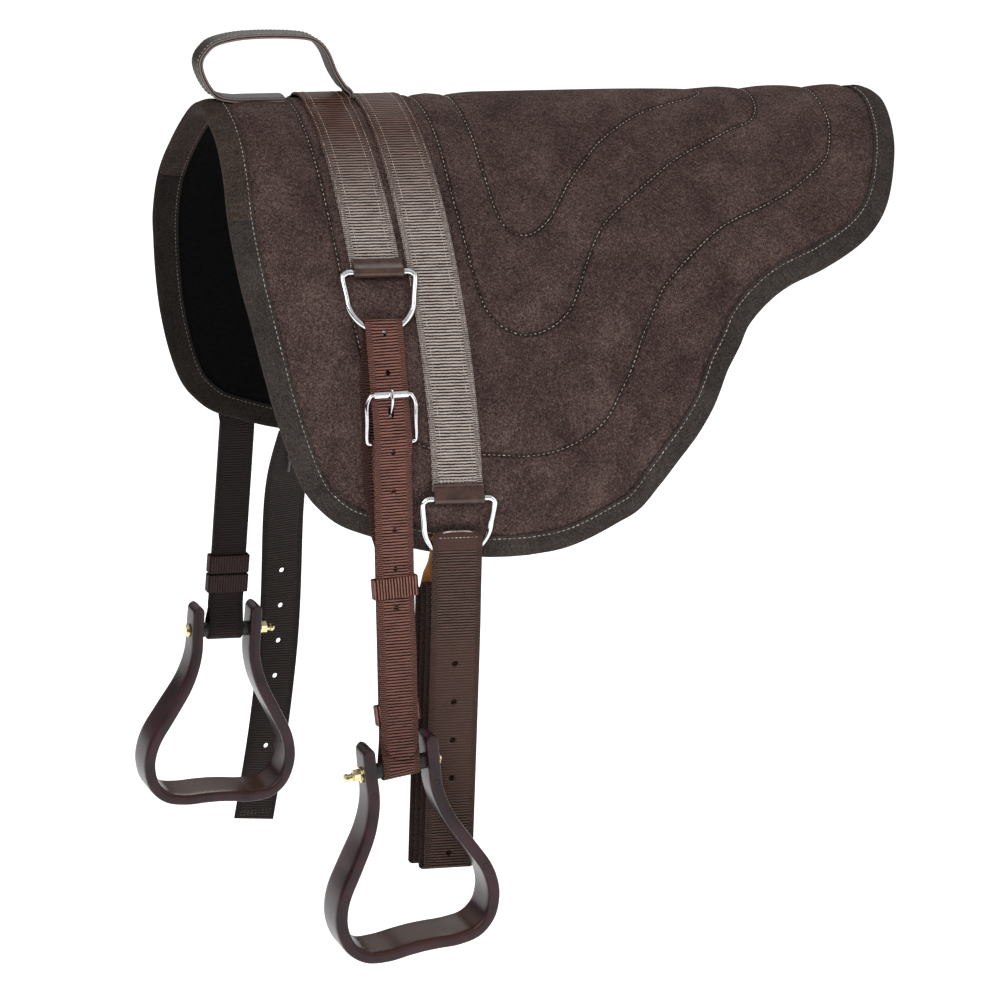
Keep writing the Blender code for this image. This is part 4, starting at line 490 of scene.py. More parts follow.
def strapPiece(name, centre, across, look, body, width, thick, columns, widths=1.0,
               holes=(), replaces=(), marks=None, sheared=False):
    # A sheared strap keeps its sections level where a fold steps sideways
    tangent = unit(np.gradient(centre, axis=0))
    if not sheared:
        across = unit(across - tangent * np.sum(across * tangent, -1, keepdims=True))
    out = unit(np.cross(across, tangent))
    points, uv = carry(centre, across, out, strapSection(width, thick, columns), widths)
    stations, ring = points.shape[:2]
    faces, walls = punch(points, uv, gridFaces(stations, ring, closeColumns=True), holes, columns, ring)
    marks = {mark: np.repeat(values, ring) for mark, values in (marks or {}).items()}
    return makePiece(
        name, points, faces, look, body, uv, replaces, [*walls, *endCaps(stations, ring)], marks,
    )


def tubePiece(name, path, radius, look, body, sides=14, closed=False, plane=None, replaces=(),
              roundEnds=False):
    # A wire along a path: P = centre + radius (e1 cos a + e2 sin a), e1 and e2 square to the path
    if closed:
        tangent = unit(np.roll(path, -1, 0) - np.roll(path, 1, 0))
    else:
        tangent = unit(np.gradient(path, axis=0))
    if plane is None:
        # The frame that turns least from one station to the next
        first = np.cross(tangent[0], [0.3, 0.5, 0.81])
        walk = [first / np.linalg.norm(first)]
        for t in tangent[1:]:
            step = walk[-1] - t * np.dot(walk[-1], t)
            walk.append(step / np.linalg.norm(step))
        e1 = np.array(walk)
    else:
        e1 = unit(plane - tangent * np.sum(tangent * plane, -1, keepdims=True))
    e2 = np.cross(tangent, e1)
    run = runLength(path)
    radii = np.full(len(path), radius)
    if roundEnds:
        near = np.minimum(run, run[-1] - run)
        radii = radii * np.sqrt(np.clip(1 - (1 - np.clip(near / radius, 0.06, 1)) ** 2, 0, 1))
    angle = np.linspace(0, 2 * math.pi, sides, endpoint=False)
    ringed = e1[:, None] * np.cos(angle)[:, None] + e2[:, None] * np.sin(angle)[:, None]
    points = path[:, None] + ringed * radii[:, None, None]
    return skinPiece(name, points, look, body, crossedUv(run, angle * radius), replaces, closed=closed)


# Each kind of seam has the stitches' pitch, their length and the thread's radius
stitchShape = dict(
    rings=5, sides=5, bury=0.35, reach=0.3 * mm, quilt=(5.2 * mm, 3.5 * mm, 0.42 * mm),
    band=(3.6 * mm, 2.6 * mm, 0.34 * mm), handle=(4.2 * mm, 2.9 * mm, 0.38 * mm),
    latigo=(4 * mm, 2.8 * mm, 0.4 * mm), billet=(4 * mm, 2.8 * mm, 0.36 * mm),
)


def stitchPiece(name, rows, body, seam, look="thread", lift=0.0):
    # Thousands of short threads: each is a low arch h(1 - q^2) along the seam, thinner at its ends.
    # rows holds (line of points, normals) pairs.
    pitch, length, radius = stitchShape[seam]
    centres, tangents, normals = [], [], []
    for line, normal in rows:
        run = runLength(line)
        count = max(int(run[-1] / pitch), 1)
        want = (np.arange(count) + 0.5) * run[-1] / count
        before, at, after = (
            np.stack([np.interp(want + shift, run, line[:, k]) for k in range(3)], 1)
            for shift in (-stitchShape["reach"], 0, stitchShape["reach"])
        )
        centres.append(at)
        tangents.append(unit(after - before))
        normals.append(np.stack([np.interp(want, run, normal[:, k]) for k in range(3)], 1))
    centre, tangent, normal = np.vstack(centres), np.vstack(tangents), np.vstack(normals)
    normal = unit(normal - tangent * np.sum(normal * tangent, -1, keepdims=True))
    side = np.cross(normal, tangent)
    rings, sides = stitchShape["rings"], stitchShape["sides"]
    q = np.linspace(-1, 1, rings)
    angle = np.linspace(0, 2 * math.pi, sides, endpoint=False)
    thread = radius * np.sqrt(1 - 0.8 * q**4)[:, None]
    alongPart = (q * length / 2)[:, None] + 0 * angle
    arch = (radius * (1 - (1 + stitchShape["bury"]) * q**2))[:, None]
    upPart = arch + thread * np.sin(angle) + lift
    sidePart = thread * np.cos(angle)
    points = (
        centre[:, None, None] + tangent[:, None, None] * alongPart[..., None]
        + normal[:, None, None] * upPart[..., None] + side[:, None, None] * sidePart[..., None]
    )
    uv = np.broadcast_to(np.stack([alongPart, sidePart], -1), (*points.shape[:3], 2))
    many = np.arange(len(centre))[:, None, None] * rings * sides
    return makePiece(
        name, points, (gridFaces(rings, sides, False, True) + many).reshape(-1, 4), look, body, uv,
        extra=(np.array(endCaps(rings, sides)) + many).reshape(-1, sides).tolist(),
    )


# The pad's surface: x runs along the spine and s is the signed distance round the front arch
# from the spine, negative on the near side.

padShape = dict(
    length=730 * mm, drop=492 * mm, thick=15 * mm, edgeThick=8 * mm, taper=46 * mm,
    halfSpan=202 * mm, bulgeDrop=346 * mm, power=1.725, tuck=0.17,
    flareRun=260 * mm, flareTop=0.07, flareHem=0.15, spineFall=43.8 * mm, liningThick=3 * mm,
    puff=2.3 * mm, puffReach=17 * mm, channelDepth=2.2 * mm, channelWidth=3.4 * mm,
    rows=300, columns=250, bandPress=9 * mm,
)
# The front and rear edges as (share of the length, share of the drop)
frontEdgeShares = [
    (0.008, 0), (0.008, 0.12), (0.003, 0.215), (-0.004, 0.323), (-0.003, 0.431),
    (0.003, 0.522), (0.011, 0.612), (0.021, 0.699), (0.037, 0.793), (0.055, 0.862),
    (0.077, 0.902), (0.099, 0.927), (0.129, 0.945), (0.185, 0.972), (0.247, 0.992), (0.300, 1),
]
rearEdgeShares = [
    (0.996, 0), (0.999, 0.06), (0.989, 0.144), (0.975, 0.211), (0.947, 0.303), (0.918, 0.360),
    (0.881, 0.402), (0.826, 0.443), (0.771, 0.474), (0.732, 0.508), (0.697, 0.553),
    (0.677, 0.598), (0.655, 0.644), (0.641, 0.683), (0.626, 0.722), (0.601, 0.772),
    (0.570, 0.823), (0.544, 0.868), (0.515, 0.917), (0.484, 0.943), (0.440, 0.974),
    (0.401, 0.992), (0.355, 1),
]
channelShares = dict(
    outer=[
        (0.126, 0), (0.126, 0.15), (0.125, 0.32), (0.127, 0.457), (0.132, 0.51), (0.140, 0.60),
        (0.158, 0.69), (0.190, 0.755), (0.240, 0.785), (0.286, 0.791), (0.321, 0.795),
        (0.355, 0.799), (0.399, 0.791), (0.442, 0.766), (0.473, 0.732), (0.497, 0.681),
        (0.519, 0.630), (0.538, 0.575), (0.559, 0.528), (0.578, 0.484), (0.604, 0.447),
        (0.638, 0.407), (0.679, 0.364), (0.712, 0.341), (0.753, 0.319), (0.801, 0.287),
        (0.849, 0.242), (0.877, 0.203), (0.896, 0.136), (0.901, 0.087), (0.903, 0),
    ],
    middle=[
        (0.305, 0), (0.308, 0.085), (0.307, 0.167), (0.304, 0.270), (0.307, 0.378), (0.311, 0.451),
        (0.318, 0.504), (0.333, 0.537), (0.356, 0.557), (0.374, 0.561), (0.397, 0.555),
        (0.422, 0.537), (0.442, 0.510), (0.456, 0.476), (0.474, 0.427), (0.490, 0.388),
        (0.512, 0.346), (0.545, 0.307), (0.593, 0.258), (0.645, 0.207), (0.693, 0.173),
        (0.749, 0.134), (0.779, 0.116), (0.797, 0.081), (0.804, 0.04), (0.805, 0),
    ],
    inner=[
        (0.358, 0), (0.359, 0.146), (0.358, 0.199), (0.360, 0.303), (0.370, 0.346), (0.389, 0.362),
        (0.411, 0.356), (0.436, 0.329), (0.455, 0.295), (0.478, 0.252), (0.504, 0.213),
        (0.541, 0.161), (0.579, 0.122), (0.611, 0.093), (0.634, 0.077), (0.673, 0.055),
        (0.708, 0.037), (0.728, 0.018), (0.734, 0),
    ],
)
bands = dict(
    front=dict(x=(127 - 365) * mm, end=207 * mm, rise=2.5 * mm),
    rear=dict(x=(184 - 365) * mm, end=424 * mm, rise=0.0),
    width=50.8 * mm, thick=2.5 * mm, gap=0.4 * mm, step=2 * mm, columns=26,
)


def fromShares(table, count):
    return smoothCurve((np.array(table) - [0.5, 0]) * [padShape["length"], padShape["drop"]], count)


frontEdge, rearEdge = fromShares(frontEdgeShares, 200), fromShares(rearEdgeShares, 240)
outline = np.vstack([frontEdge, rearEdge[::-1]])
channels = {name: fromShares(table, 420) for name, table in channelShares.items()}


def archHalfWidth(drop):
    # A horseshoe: y = span (1 - (1 - z/bulge)^p)^(1/p), then tucked in below the bulge
    shape = padShape
    rise = np.clip(1 - drop / shape["bulgeDrop"], 0, 1)
    flank = shape["halfSpan"] * np.clip(1 - rise ** shape["power"], 0, 1) ** (1 / shape["power"])
    below = (drop - shape["bulgeDrop"]) / shape["bulgeDrop"]
    return np.where(drop < shape["bulgeDrop"], flank, shape["halfSpan"] * (1 - shape["tuck"] * below**2))


dropTable = np.linspace(0, 1, 2000) ** 2 * (1.2 * padShape["drop"])
runTable = np.concatenate([[0], np.cumsum(np.hypot(np.diff(archHalfWidth(dropTable)), np.diff(dropTable)))])


def padBase(x, s):
    # The outer face before the edge is thinned: the arch widens towards the back and falls with the spine
    shape = padShape
    drop = np.interp(abs(s), runTable, dropTable)
    turn = np.sin(math.pi / 2 * np.clip((x + shape["length"] / 2) / shape["flareRun"], 0, 1))
    lower = np.minimum(drop / shape["bulgeDrop"], 1)
    flare = shape["flareTop"] + (shape["flareHem"] - shape["flareTop"]) * lower
    width = archHalfWidth(drop) * (1 + turn * flare)
    z = shape["thick"] - shape["spineFall"] * x / shape["length"] - drop
    return np.stack(np.broadcast_arrays(x, np.sign(s) * width, z), -1)


def padNormal(x, s):
    step = 1.5 * mm
    along = padBase(x + step, s) - padBase(x - step, s)
    across = padBase(x, s + step) - padBase(x, s - step)
    return unit(np.cross(along, across))


def distanceTo(x, s, line):
    # The least distance in the flat pattern from each point to a line of points
    flatX, flatS = np.ravel(x), np.ravel(abs(s))
    nearest = [
        np.hypot(flatX[k:k + 4000, None] - line[None, :, 0], flatS[k:k + 4000, None] - line[None, :, 1]).min(1)
        for k in range(0, len(flatX), 4000)
    ]
    return np.concatenate(nearest).reshape(np.shape(x))


def signedDistance(x, s, line):
    # Negative within the loop that the channel makes with the spine: a crossing count along x
    flatX, flatS = np.ravel(x), np.ravel(abs(s))
    a, b = line, np.roll(line, -1, 0)
    crossed = np.zeros(len(flatX), int)
    for (ax, ay), (bx, by) in zip(a[:-1], b[:-1]):
        if ay != by:
            straddles = (flatS >= min(ay, by)) & (flatS < max(ay, by))
            crossed += straddles & (flatX < ax + (flatS - ay) * (bx - ax) / (by - ay))
    return distanceTo(x, s, line) * np.where(crossed % 2 == 1, -1, 1).reshape(np.shape(x))


def sinkAt(edgeDistance):
    full = np.clip(edgeDistance / padShape["taper"], 0, 1)
    return (padShape["thick"] - padShape["edgeThick"]) * (1 - np.sin(full * math.pi / 2)) / 2


def bandMask(x, s):
    # 1 beneath a band, 0 a little way off it
    total = 0
    for band in (bands["front"], bands["rear"]):
        aside = 1 - ramped(abs(x - band["x"]) - bands["width"] / 2, 0, padShape["bandPress"])
        below = 1 - ramped(abs(s) - band["end"] - 10 * mm, 0, padShape["bandPress"])
        total = np.maximum(total, aside * below)
    return total


def coverLift(x, s, edgeDistance):
    # Foam swells between the sewn channels: puff (1 - exp(-(d/reach)^2)) - depth exp(-(d/width)^2)
    shape = padShape
    near = np.minimum.reduce([distanceTo(x, s, line) for line in channels.values()])
    swell = shape["puff"] * (1 - np.exp(-((near / shape["puffReach"]) ** 2)))
    groove = shape["channelDepth"] * np.exp(-((near / shape["channelWidth"]) ** 2))
    clear = ramped(edgeDistance, 20 * mm, 34 * mm)
    return (swell * clear) * (1 - bandMask(x, s)) - groove * (1 - 0.6 * bandMask(x, s))


def outerFace(x, s, lift=0.0, dressed=False):
    x, s = np.broadcast_arrays(np.asarray(x, float), np.asarray(s, float))
    edgeDistance = distanceTo(x, s, outline)
    raised = lift - sinkAt(edgeDistance)
    if dressed:
        raised = raised + coverLift(x, s, edgeDistance)
    return padBase(x, s) + padNormal(x, s) * np.asarray(raised)[..., None]


def innerFace(x, s, lift=0.0):
    x, s = np.broadcast_arrays(np.asarray(x, float), np.asarray(s, float))
    sunk = sinkAt(distanceTo(x, s, outline))
    return padBase(x, s) + padNormal(x, s) * (sunk - padShape["thick"] + lift)[..., None]


def patternGrid(rows, columns):
    t = np.linspace(-1, 1, rows)
    s = np.sign(t) * padShape["drop"] * (1 - (1 - abs(t)) ** 1.5)
    first = np.interp(abs(s), frontEdge[:, 1], frontEdge[:, 0])
    last = np.interp(abs(s), rearEdge[:, 1], rearEdge[:, 0])
    share = np.linspace(0, 1, columns)
    x = first[:, None] + (last - first)[:, None] * share[None, :]
    return x, np.broadcast_to(s[:, None], x.shape)


def slabPiece(name, upper, lower, uv, look, replaces, marks=None):
    # Two grids joined round their rim
    rows, columns = upper.shape[:2]
    points = np.concatenate([upper.reshape(-1, 3), lower.reshape(-1, 3)])
    faces = gridFaces(rows, columns)
    under = rows * columns
    index = np.arange(under).reshape(rows, columns)
    rim = np.concatenate([index[0], index[1:, -1], index[-1, -2::-1], index[-2:0:-1, 0]])
    ahead = np.roll(rim, -1)
    wall = np.stack([ahead, rim, rim + under, ahead + under], 1)
    both = np.concatenate([faces, faces[:, ::-1] + under, wall])
    uvs = np.concatenate([uv.reshape(-1, 2)] * 2)
    marks = {mark: np.tile(np.ravel(values), 2) for mark, values in (marks or {}).items()}
    return makePiece(name, points, both, look, "pad", uvs, replaces, marks=marks)


gridX, gridS = patternGrid(padShape["rows"], padShape["columns"])
patternUv = np.stack([gridX, gridS], -1)
liningTop = padShape["liningThick"] + 0.3 * mm
pad = slabPiece(
    "quilted_pad", outerFace(gridX, gridS, 0, dressed=True), innerFace(gridX, gridS, liningTop),
    patternUv, "suede", ["suede_cover", "foam_core"],
    dict(zip(seamNames, (signedDistance(gridX, gridS, line) for line in channels.values()))),
)
liningX, liningS = patternGrid(150, 130)
inside = innerFace(liningX, liningS)
# The four corners of each of the grid's faces
here, below, aside, across = inside[:-1, :-1], inside[1:, :-1], inside[:-1, 1:], inside[1:, 1:]
lining = slabPiece(
    "felt_underside", innerFace(liningX, liningS, padShape["liningThick"]), inside,
    np.stack([liningX, liningS], -1), "felt", ["felt_lining"],
)


# The suede binding: a strip folded round the rim, sewn in three lengths

binding = dict(
    band=20 * mm, thick=1.5 * mm, gap=0.25 * mm, puff=1.6 * mm, seamIn=16.5 * mm, seam=157 * mm,
    rimOut=2.9 * mm, step=3 * mm, flatNear=60 * mm, freeFrom=95 * mm, flatBelow=330 * mm,
)


def inwardNormal(x, s):
    # The direction in the flat pattern from the edge towards the pad's middle
    near = np.hypot(outline[None, :, 0] - x[:, None], outline[None, :, 1] - abs(s)[:, None]).argmin(1)
    a = outline[np.maximum(near - 4, 0)]
    b = outline[np.minimum(near + 4, len(outline) - 1)]
    tangent = unit(b - a)
    normal = np.stack([tangent[:, 1], -tangent[:, 0]], 1)
    middle = outline.mean(0)
    flip = np.sum(normal * (middle - np.stack([x, abs(s)], 1)), 1) < 0
    normal[flip] *= -1
    normal[:, 1] *= np.minimum(abs(s) / (0.1 * padShape["drop"]), 1) * np.where(s < 0, -1, 1)
    return normal


def bindingSwell(x, s, reach):
    # Swollen between the rim and its seam, flat from the seam to the cut edge: puff sin(pi q)^0.7.
    # The straps of the rear rings hold it flat where they lie against it.
    q = np.clip(reach / binding["seamIn"], 0, 1)
    free = ramped(abs(x - bands["rear"]["x"]), binding["flatNear"], binding["freeFrom"])
    free = np.where(abs(s) > binding["flatBelow"], free, 1)
    return free[:, None] * binding["puff"] * np.sin(math.pi * q)[None, :] ** 0.7


def bindingSection(x, s, extra):
    # One closed loop round the rim at each station: out over the top, round and back beneath
    inward = inwardNormal(x, s)
    reach = [np.linspace(binding["band"], binding["seamIn"], 3)[:-1], np.linspace(binding["seamIn"], 0, 11)]
    reach = np.concatenate(reach)
    px = x[:, None] + inward[:, 0:1] * reach
    ps = s[:, None] + inward[:, 1:2] * reach
    top = outerFace(px, ps, extra + bindingSwell(x, s, reach))
    bottom = innerFace(px[:, ::-1], ps[:, ::-1], -extra)
    rimTop, rimBottom = outerFace(x, s), innerFace(x, s)
    up = unit(rimTop - rimBottom)
    outward = rimTop - outerFace(x + inward[:, 0] * 4 * mm, s + inward[:, 1] * 4 * mm)
    outward = unit(outward - up * np.sum(outward * up, -1, keepdims=True))
    middle, half = (rimTop + rimBottom) / 2, np.linalg.norm(rimTop - rimBottom, axis=-1) / 2 + extra
    angle = np.radians(np.linspace(90, -90, 11))[1:-1]
    rim = (
        middle[:, None] + up[:, None] * (half[:, None] * np.sin(angle))[..., None]
        + outward[:, None] * ((binding["rimOut"] + extra) * np.cos(angle) ** 0.8)[None, :, None]
    )
    return np.concatenate([top, rim, bottom], 1)


def bindingPiece(name, x, s, look, node):
    outer = bindingSection(x, s, binding["gap"] + binding["thick"])
    inner = bindingSection(x, s, binding["gap"])[:, ::-1]
    points = np.concatenate([outer, inner], 1)
    stations, ring = points.shape[:2]
    uv = crossedUv(runLength(outer[:, 0]), np.linspace(0, 0.1, ring))
    faces = gridFaces(stations, ring, closeColumns=True)
    caps = [
        (first + k, first + k + 1, first + ring - 2 - k, first + ring - 1 - k)
        for first in (0, (stations - 1) * ring) for k in range(ring // 2 - 1)
    ]
    return makePiece(name, points, faces, look, "pad", uv, [node], caps)


def alongOutline(side):
    # The edge from the front seam, down and round the hem, and up the rear edge to the spine
    line = np.vstack([frontEdge[frontEdge[:, 1] > binding["seam"]], rearEdge[::-1]])
    line = np.vstack([[np.interp(binding["seam"], frontEdge[:, 1], frontEdge[:, 0]), binding["seam"]], line])
    line = evenly(line, int(runLength(line)[-1] / binding["step"]), 2)
    return line[:, 0], line[:, 1] * side


frontS = np.linspace(-binding["seam"], binding["seam"], 106)
frontX = np.interp(abs(frontS), frontEdge[:, 1], frontEdge[:, 0])
bindingPiece("binding_front_arch", frontX, frontS, "suedeFront", "binding_front")
for side, hand in ((-1, "left"), (1, "right")):
    x, s = alongOutline(side)
    s = np.where(abs(s) < 0.2 * mm, side * 0.2 * mm, s)
    # The far edge takes the darker copy, painted shade
    look = "suedeNear" if hand == "left" else "suedeShaded"
    bindingPiece(f"binding_edge_{hand}", x, s, look, f"binding_{hand}")
print("binding: three lengths round the rim")


# Webbing bands over the pad

def bandLift(band, s):
    # The band's underside above the pad: the front band steps over the handle's sewn end
    return bands["gap"] + band["rise"] * (1 - ramped(abs(s), 13 * mm, 22 * mm))


def bandPiece(name, band, node):
    # Laid on the pad: P = face(x + v, s) + normal (lift + half the thickness + n)
    s = np.linspace(-band["end"], band["end"], int(2 * band["end"] / bands["step"]))
    v, n = strapSection(bands["width"], bands["thick"], bands["columns"]).T
    lift = (bandLift(band, s) + bands["thick"] / 2)[:, None] + n
    x, ss = np.broadcast_arrays(band["x"] + v[None, :], s[:, None])
    points = padBase(x, ss) + padNormal(x, ss) * lift[..., None]
    return skinPiece(name, points, "band", "pad", crossedUv(s, v), [node])


def bandRow(band, v, s):
    # A line of stitches on the band's face, with the face's normals
    x, s = np.broadcast_arrays(band["x"] + v, s)
    normal = padNormal(x, s)
    return padBase(x, s) + normal * (bandLift(band, s) + bands["thick"] - 0.1 * mm)[:, None], normal


bandPiece("band_front", bands["front"], "webbing_front")
bandPiece("band_rear", bands["rear"], "webbing_rear")
rows = []
for band in (bands["front"], bands["rear"]):
    sewnTo = band["end"] - 12 * mm
    for v in (-22.8 * mm, -15.5 * mm, 15.5 * mm, 22.8 * mm):
        rows.append(bandRow(band, v, np.linspace(-sewnTo, sewnTo, 200)))
    for side in (-1, 1):
        across = np.linspace(-22 * mm, 22 * mm, 40)
        rows += [bandRow(band, across, side * (band["end"] - back)) for back in (9 * mm, 11.5 * mm)]
stitchPiece("band_stitching", rows, "pad", "band")
print("bands: two, with their sewn rows")


# Quilting thread in the channels and round the rim

rows = []
for line in channels.values():
    for side in (-1, 1):
        x, s = line[:, 0], line[:, 1] * side
        rows.append((outerFace(x, s, dressed=True), padNormal(x, s)))
stitchPiece("quilting_thread", rows, "pad", "quilt", lift=0.1 * mm)
over, under = [], []
sunk = binding["gap"] + binding["thick"]
for x, s in (alongOutline(-1), alongOutline(1), (frontX, frontS)):
    keep = abs(s) > 0.5 * mm
    inward = inwardNormal(x[keep], s[keep]) * binding["seamIn"]
    x, s = x[keep] + inward[:, 0], s[keep] + inward[:, 1]
    normal = padNormal(x, s)
    over.append((outerFace(x, s, sunk), normal))
    under.append((innerFace(x, s, -sunk), -normal))
stitchPiece("rim_thread", over, "pad", "quilt")
# The rim's inside gets the darker thread: painted shade
stitchPiece("rim_thread_inside", under, "pad", "quilt", "threadDark")
print("thread: channels and rim")


# Rings and chapes. Each ring's bar and the way it hangs come from its joints.

ringShape = dict(wire=6 * mm, half=36.5 * mm, arc=34 * mm, depth=58 * mm)
chapeShape = dict(width=50.8 * mm, thick=2 * mm, cover=14 * mm, wrap=1.3 * mm, overWeb=3.1 * mm)


def ringSeat(end, hand, swing):
    side = -1 if hand == "left" else 1
    hinge = joints[f"ring_{end}_{hand}_hinge"]
    bar = np.array(hinge["pos_m"])
    along = np.array(hinge["axis"]) * (1 if hinge["axis"][0] > 0 else -1)
    down = unit(np.array(joints[swing]["pos_m"]) - bar)
    out = np.cross(along, down)
    out = out if out[1] * side > 0 else -out
    return dict(bar=bar, along=along, down=down, out=out, side=side, foot=bar + down * ringShape["depth"])


seats = {
    (end, hand): ringSeat(end, hand, swing) for end, hand, swing in (
        ("front", "left", "strap_left_swing"), ("front", "right", "strap_right_swing"),
        ("rear", "left", "latigo_swing"), ("rear", "right", "billet_swing"),
    )
}


def ringPath(seat):
    # A straight bar, rounded shoulders and a half-round bow
    wide, arc, depth = ringShape["half"], ringShape["arc"], ringShape["depth"]
    shoulder = 2 * ringShape["wire"]
    half = [(-wide + shoulder / 2, 0), (-wide + shoulder / 6, shoulder / 6), (-wide, shoulder / 2)]
    bow = [(-arc * math.cos(a), depth - arc + arc * math.sin(a)) for a in np.linspace(0, math.pi, 13)]
    bar = [(u, 0) for u in np.linspace(wide - shoulder / 2, -wide + shoulder / 2, 7)[1:-1]]
    flat = smoothCurve(half + bow + [(-u, v) for u, v in half[::-1]] + bar, 200, closed=True)
    return seat["bar"] + seat["along"] * flat[:, :1] + seat["down"] * flat[:, 1:]


def chapeLine(seat):
    # Down over the band's end, round the bar and up a little behind it
    wrap = ringShape["wire"] / 2 + chapeShape["wrap"]
    overWeb, cover = -chapeShape["overWeb"], chapeShape["cover"]
    start = [(overWeb, -cover), (overWeb, -cover * 0.82), (overWeb + 1.3 * mm, -cover * 0.6)]
    bend = [(wrap * math.cos(a), wrap * math.sin(a)) for a in np.radians(np.linspace(-38, 185, 16))]
    flat = smoothCurve(start + bend, 70)
    return seat["bar"] + seat["out"] * flat[:, :1] + seat["down"] * flat[:, 1:]


for (end, hand), seat in seats.items():
    tubePiece(
        f"d_ring_{end}_{hand}", ringPath(seat), ringShape["wire"] / 2, "nickel", f"ring_{end}_{hand}",
        20, True, seat["out"], [f"ring_{end}_{hand}"],
    )
    centre = chapeLine(seat)
    strapPiece(
        f"ring_chape_{end}_{hand}", centre, np.broadcast_to(seat["along"], centre.shape), "leather", "pad",
        chapeShape["width"], chapeShape["thick"], 24, replaces=[f"chape_{end}_{hand}"],
    )
print("rings and chapes: four of each")


# Lines that straps hang along. A place on one is (down, out, sideways).

def makeHang(points, seat, lastAcross, settle, passes):
    fine = evenly(np.array(points, float), 60)
    calm(fine, passes)
    run = runLength(fine)
    return dict(points=fine, run=run, length=run[-1], seat=seat, lastAcross=np.array(lastAcross), settle=settle)


def hangPoint(hang, t):
    return np.stack([np.interp(t, hang["run"], hang["points"][:, k]) for k in range(3)], -1)


def hangAt(hang, t):
    # (point, down, across, out) at distances t below the ring's foot
    t = np.atleast_1d(np.asarray(t, float))
    seat, length = hang["seat"], hang["length"]
    within = np.clip(t, 0, length)
    step = length / 60
    ahead, behind = np.minimum(within + step, length), np.maximum(within - step, 0)
    runDown = unit(hangPoint(hang, ahead) - hangPoint(hang, behind))
    share = (within / length)[:, None]
    across = unit(seat["along"] * (1 - share) + hang["lastAcross"] * share)
    settled = np.minimum(within / hang["settle"], 1)[:, None]
    down = seat["down"] * (1 - settled) + runDown * settled
    down = unit(down - across * np.sum(down * across, -1, keepdims=True))
    out = np.cross(across, down)
    out = out * np.where(out[:, 1:2] * seat["side"] < 0, -1, 1)
    return hangPoint(hang, within) + down * (t - within)[:, None], down, across, out


def spot(hang, t, n, sideways=0.0):
    centre, _, across, out = hangAt(hang, t)
    n, sideways = np.broadcast_to(n, len(centre)), np.broadcast_to(sideways, len(centre))
    return centre + out * n[:, None] + across * sideways[:, None]


def layStrap(hang, route, step, passes=3):
    # route rows are (t, n, sideways, width share, layer); they become evenly spaced stations
    route = np.array(route, float)
    path = spot(hang, route[:, 0], route[:, 1], route[:, 2])
    _, _, across, _ = hangAt(hang, route[:, 0])
    table = evenly(np.hstack([path, across, route]), int(runLength(path)[-1] / step))
    calm(table[:, :3], passes)
    return table[:, :3], table[:, 3:6], table[:, 6:]


def layRows(t, n, sideways=0.0, width=1.0, layer=0.0):
    return np.stack(np.broadcast_arrays(t, n, sideways, width, layer), 1)


def stretchOf(start, end, step=2 * mm):
    return np.linspace(start, end, max(int(abs(end - start) / step), 2))


# The stirrup straps

strapShape = dict(
    width=38 * mm, thick=2.2 * mm, gap=0.5 * mm, spread=36 * mm, bow=9 * mm, ease=22 * mm, step=1.05 * mm,
    tip=26 * mm, tipBack=9 * mm, holePitch=38.1 * mm, holeRadius=2.5 * mm,
    buckleDrop=62 * mm, buckleHeight=46 * mm, buckleHalf=24.5 * mm, wire=4 * mm, heelOut=0.6 * mm,
    rollerRadius=3.3 * mm, tongueWire=2.6 * mm, tongueHole=17 * mm, fold=38 * mm, touch=0.3 * mm,
    keeperLength=20 * mm, keeperWall=2.2 * mm, keeperPlay=0.5 * mm, keeperSidePlay=1.8 * mm,
    keeperGap=2 * mm, keeperSlide=45 * mm, lowerRise=54 * mm, upperRise=178 * mm, sleeveRadius=8 * mm,
    keeperCorner=1.6 * mm, heelHole=2.7 * mm, heelSlot=4.5 * mm, tongueSlot=2.6 * mm,
    bowShares=((0, 0), (0.07, 0.55), (0.145, 0.9), (0.35, 1), (0.44, 0.5), (0.49, 0)),
)
# Where each strap falls, in millimetres, from the ring's foot to the bolt
strapFalls = dict(
    left=[
        (-242.8, -191.2, -159.8), (-243.9, -202.5, -188.2), (-245.0, -212.3, -217.0),
        (-246.2, -220.2, -246.5), (-247.3, -226.2, -276.4), (-248.5, -231.1, -306.5),
        (-249.7, -235.7, -336.7), (-250.8, -240.3, -366.8), (-252.0, -244.8, -397.0),
        (-253.2, -249.3, -427.2), (-254.3, -253.9, -457.3), (-255.5, -258.4, -487.5),
        (-256.7, -262.9, -517.7), (-257.8, -267.5, -547.8), (-259.0, -272.0, -578.0),
    ],
    right=[
        (-242.8, 191.2, -159.8), (-245.1, 202.7, -189.8), (-247.4, 212.7, -220.3),
        (-249.8, 220.4, -251.5), (-252.2, 225.8, -283.1), (-254.6, 228.8, -315.1),
        (-257.0, 230.3, -347.2), (-259.5, 231.3, -379.3), (-261.9, 232.2, -411.4),
        (-264.3, 233.2, -443.5), (-266.8, 234.2, -475.6), (-269.2, 235.1, -507.7),
        (-271.6, 236.1, -539.8), (-274.1, 237.0, -571.9), (-276.5, 238.0, -604.0),
    ],
)
lean = math.radians(5)
# The far strap and its keepers take the darker copy, painted shade
strapLooks = dict(left="strap", right="strapShaded")


